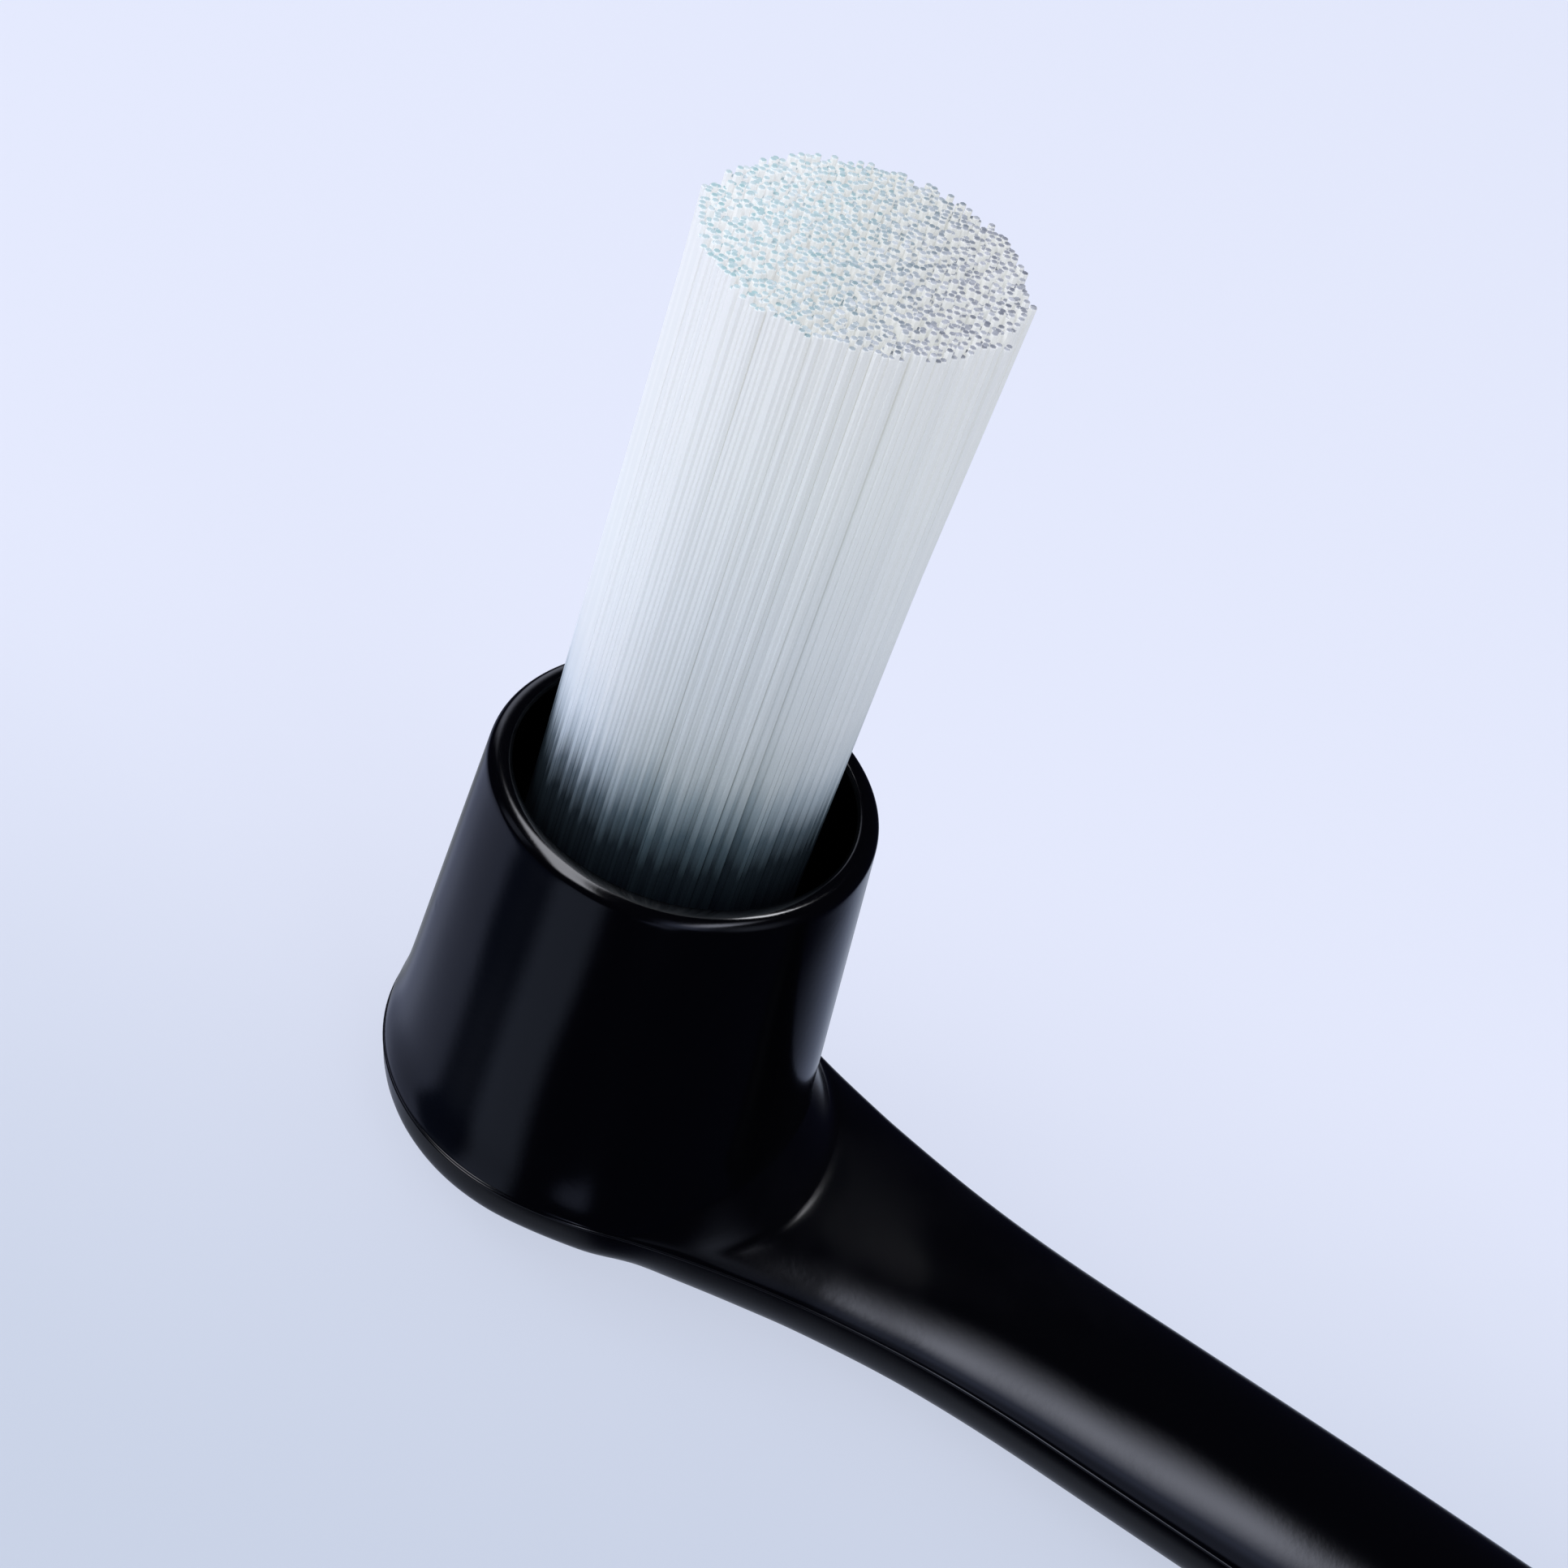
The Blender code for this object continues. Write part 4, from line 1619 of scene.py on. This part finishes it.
@dataclass(frozen=True)
class Softbox:
    """A soft lamp that hangs in a direction from the brush's head and faces it; gloss doesn't mirror it."""

    name: str
    direction: tuple[float, float, float]
    size: tuple[float, float]
    radiance: float
    distance: float = 0.8
    target: tuple[float, float, float] = (-0.06, 0.0, 0.015)

    def build(self) -> None:
        """Hang the lamp."""
        data = bpy.data.lights.new(self.name, "AREA")
        data.shape = "RECTANGLE"
        data.size, data.size_y = self.size
        data.energy = self.radiance * math.pi * self.size[0] * self.size[1]
        lamp = linked(self.name, data)
        lamp.visible_glossy = False
        away = Vector(self.direction).normalized()
        place = Matrix.Translation(Vector(self.target) + away * self.distance)
        lamp.matrix_world = place @ away.to_track_quat("Z", "Y").to_matrix().to_4x4()


@dataclass(frozen=True)
class Viewpoint:
    """The photograph's camera, given in the cup's frame."""

    place: tuple[float, float, float] = (13.863 * MM, -114.965 * MM, 121.452 * MM)
    turn: tuple[float, float, float] = (47.885, -14.324, 17.207)
    lens: float = 70.81
    sensor: float = 36.0
    nearest: float = 0.01

    def build(self, cup_place: Matrix) -> None:
        """Set the camera up.

        Args:
            cup_place: The cup's frame in the brush's frame.
        """
        data = bpy.data.cameras.new("camera")
        data.lens = self.lens
        data.sensor_width = self.sensor
        data.clip_start = self.nearest
        camera = linked("camera", data)
        turn = Euler([math.radians(angle) for angle in self.turn]).to_matrix().to_4x4()
        camera.matrix_world = cup_place @ Matrix.Translation(self.place) @ turn
        bpy.context.scene.camera = camera


def cup_frame(face_offset: float = 3.5 * MM, face_depth: float = 4.2 * MM) -> Matrix:
    """The cup's own frame in the brush's frame, read from the flat underside that the record names.

    Args:
        face_offset: How far the underside's middle lies from the cup's axis, away from the grip.
        face_depth: How deep the underside lies under the parting line.

    Returns:
        A matrix whose origin is the cup's axis at the parting line, +Z out of the mouth and +X to the grip.
    """
    mount = next(mount for mount in frame["record"]["mounts"] if mount["name"] == "cup_base")
    up = -Vector(mount["axis"]).normalized()
    across = Vector((0.0, 1.0, 0.0))
    along = across.cross(up)
    origin = Vector(mount["pos_m"]) + up * face_depth + along * face_offset
    turn = Matrix((along, across, up)).transposed().to_4x4()
    return Matrix.Translation(origin) @ turn


@dataclass(frozen=True)
class Card:
    """A soft-edged card round the brush that only gloss mirrors, set by its direction and size in degrees."""

    azimuth: float
    elevation: float
    half_size: tuple[float, float]
    edge: tuple[float, float]
    colour: Colour
    roll: float = 0.0

    def light(self, graph: Graph, direction: object) -> Signal:
        """The card's colour in a direction, black beside it.

        Args:
            graph: The room's node graph.
            direction: The direction looked in.

        Returns:
            The colour.
        """
        turn = Euler((0.0, -math.radians(self.elevation), math.radians(self.azimuth))).to_matrix()
        turn = turn @ Matrix.Rotation(math.radians(self.roll), 3, "X")
        dots = [graph.vector_math("DOT_PRODUCT", {0: direction, 1: axis}, "Value") for axis in turn.col]
        ahead, *offsets = dots
        left = graph.span(ahead, 0.0, 0.1)
        for offset, half, edge in zip(offsets, self.half_size, self.edge):
            low, high = math.sin(math.radians(half - edge)), math.sin(math.radians(half + edge))
            left = left * graph.span(graph.math("ABSOLUTE", offset), low, high, 1.0, 0.0)
        return graph.vector_math("SCALE", {0: self.colour, "Scale": left})


@dataclass(frozen=True)
class Room:
    """The room: even light on the brush, and next to nothing but a few soft cards in its black gloss."""

    colour: Colour = (0.90, 0.93, 1.0)
    strength: float = 0.72
    dark: Colour = (0.008, 0.009, 0.022)
    horizon: Colour = (0.585, 0.645, 0.78)
    cards: tuple[Card, ...] = (
        Card(-54.8, 55.2, (20.5, 4.5), (20.5, 2.5), (3.45, 3.6, 4.3), 66.0),
        Card(-67.0, 25.0, (10.0, 14.0), (8.0, 14.0), (0.36, 0.42, 0.66)),
        Card(150.5, -50.0, (27.0, 17.0), (4.0, 6.0), (0.19, 0.215, 0.315)),
        Card(-108.5, -42.0, (11.0, 15.0), (4.5, 6.0), (0.205, 0.24, 0.335)),
        Card(-147.0, -47.0, (17.0, 11.0), (7.0, 6.0), (0.014, 0.022, 0.045)),
        Card(49.0, -36.0, (17.0, 9.0), (15.0, 5.0), (0.22, 0.26, 0.37)),
        Card(0.0, -90.0, (26.0, 26.0), (8.0, 8.0), (0.14, 0.155, 0.19)),
        Card(-69.0, -2.0, (7.0, 22.0), (4.0, 4.0), (0.21, 0.24, 0.36)),
        Card(79.0, -43.0, (17.0, 17.0), (14.0, 14.0), (0.34, 0.37, 0.42)),
        Card(-166.5, 44.8, (38.0, 10.0), (6.0, 4.0), (5.6, 5.7, 6.2), -29.0),
        Card(97.0, 62.5, (4.0, 4.5), (1.5, 2.0), (14.0, 14.2, 15.0)),
        Card(-30.0, 32.0, (14.0, 13.0), (13.0, 12.0), (0.26, 0.29, 0.38)),
        Card(125.0, 9.0, (15.0, 13.0), (9.0, 8.0), (0.9, 0.95, 1.15)),
        Card(-165.0, -2.0, (9.0, 13.0), (6.0, 6.0), (0.24, 0.27, 0.36)),
    )

    def build(self) -> None:
        """Fill the surroundings with light, with another look in gloss and behind the floor's edge."""
        world = bpy.data.worlds.new("room")
        world.use_nodes = True
        graph = Graph(world.node_tree)
        even = graph.tree.nodes["Background"]
        graph.feed(even.inputs["Color"], self.colour)
        graph.feed(even.inputs["Strength"], self.strength)
        direction = graph.node("TexCoord").outputs["Generated"]
        seen = self.dark
        for card in self.cards:
            seen = graph.vector_math("ADD", {0: seen, 1: card.light(graph, direction)})
        mirrored = graph.node("Background", {"Color": seen, "Strength": 1.0})
        behind = graph.node("Background", {"Color": self.horizon, "Strength": 1.0})
        rays = graph.node("LightPath")
        joined = graph.either(rays.outputs["Is Glossy Ray"], even.outputs[0], mirrored.outputs[0])
        joined = graph.either(rays.outputs["Is Camera Ray"], joined, behind.outputs[0])
        graph.feed(graph.tree.nodes["World Output"].inputs["Surface"], joined)
        bpy.context.scene.world = world


def dress_hidden_pieces() -> None:
    """Give the plug and the glue in the bore their finishes."""
    resin = SetResin("plug_resin", (0.60, 0.57, 0.47), (0.48, 0.45, 0.36), 0.5)
    glue = SetResin("set_glue", (0.84, 0.80, 0.67), (0.70, 0.66, 0.52), 0.38)
    for node, finish in (("root_plug", resin), ("adhesive_bed", glue)):
        materials = frame["nodes"][node].data.materials
        materials.clear()
        materials.append(finish.build())
        log.info("%s: finished as %s", node, finish.name)


def main() -> None:
    """Build, dress and light the brush."""
    logging.basicConfig(level=logging.INFO, format="%(name)s: %(message)s")
    bpy.context.scene.view_settings.view_transform = "Standard"
    cup = CupForm()
    place = cup_frame()
    Viewpoint().build(place)
    Handle(cup).build(place, BlackGloss().build())
    Bristles(cup).build(place, Nylon().build())
    dress_hidden_pieces()
    Stage().build()
    Softbox("key", (-0.70, -0.35, 0.62), (0.5, 0.4), 4.5).build()
    Softbox("overhead", (0.32, -0.51, 0.80), (0.3, 0.4), 2.0).build()
    Room().build()


if __name__ == "__main__":
    main()
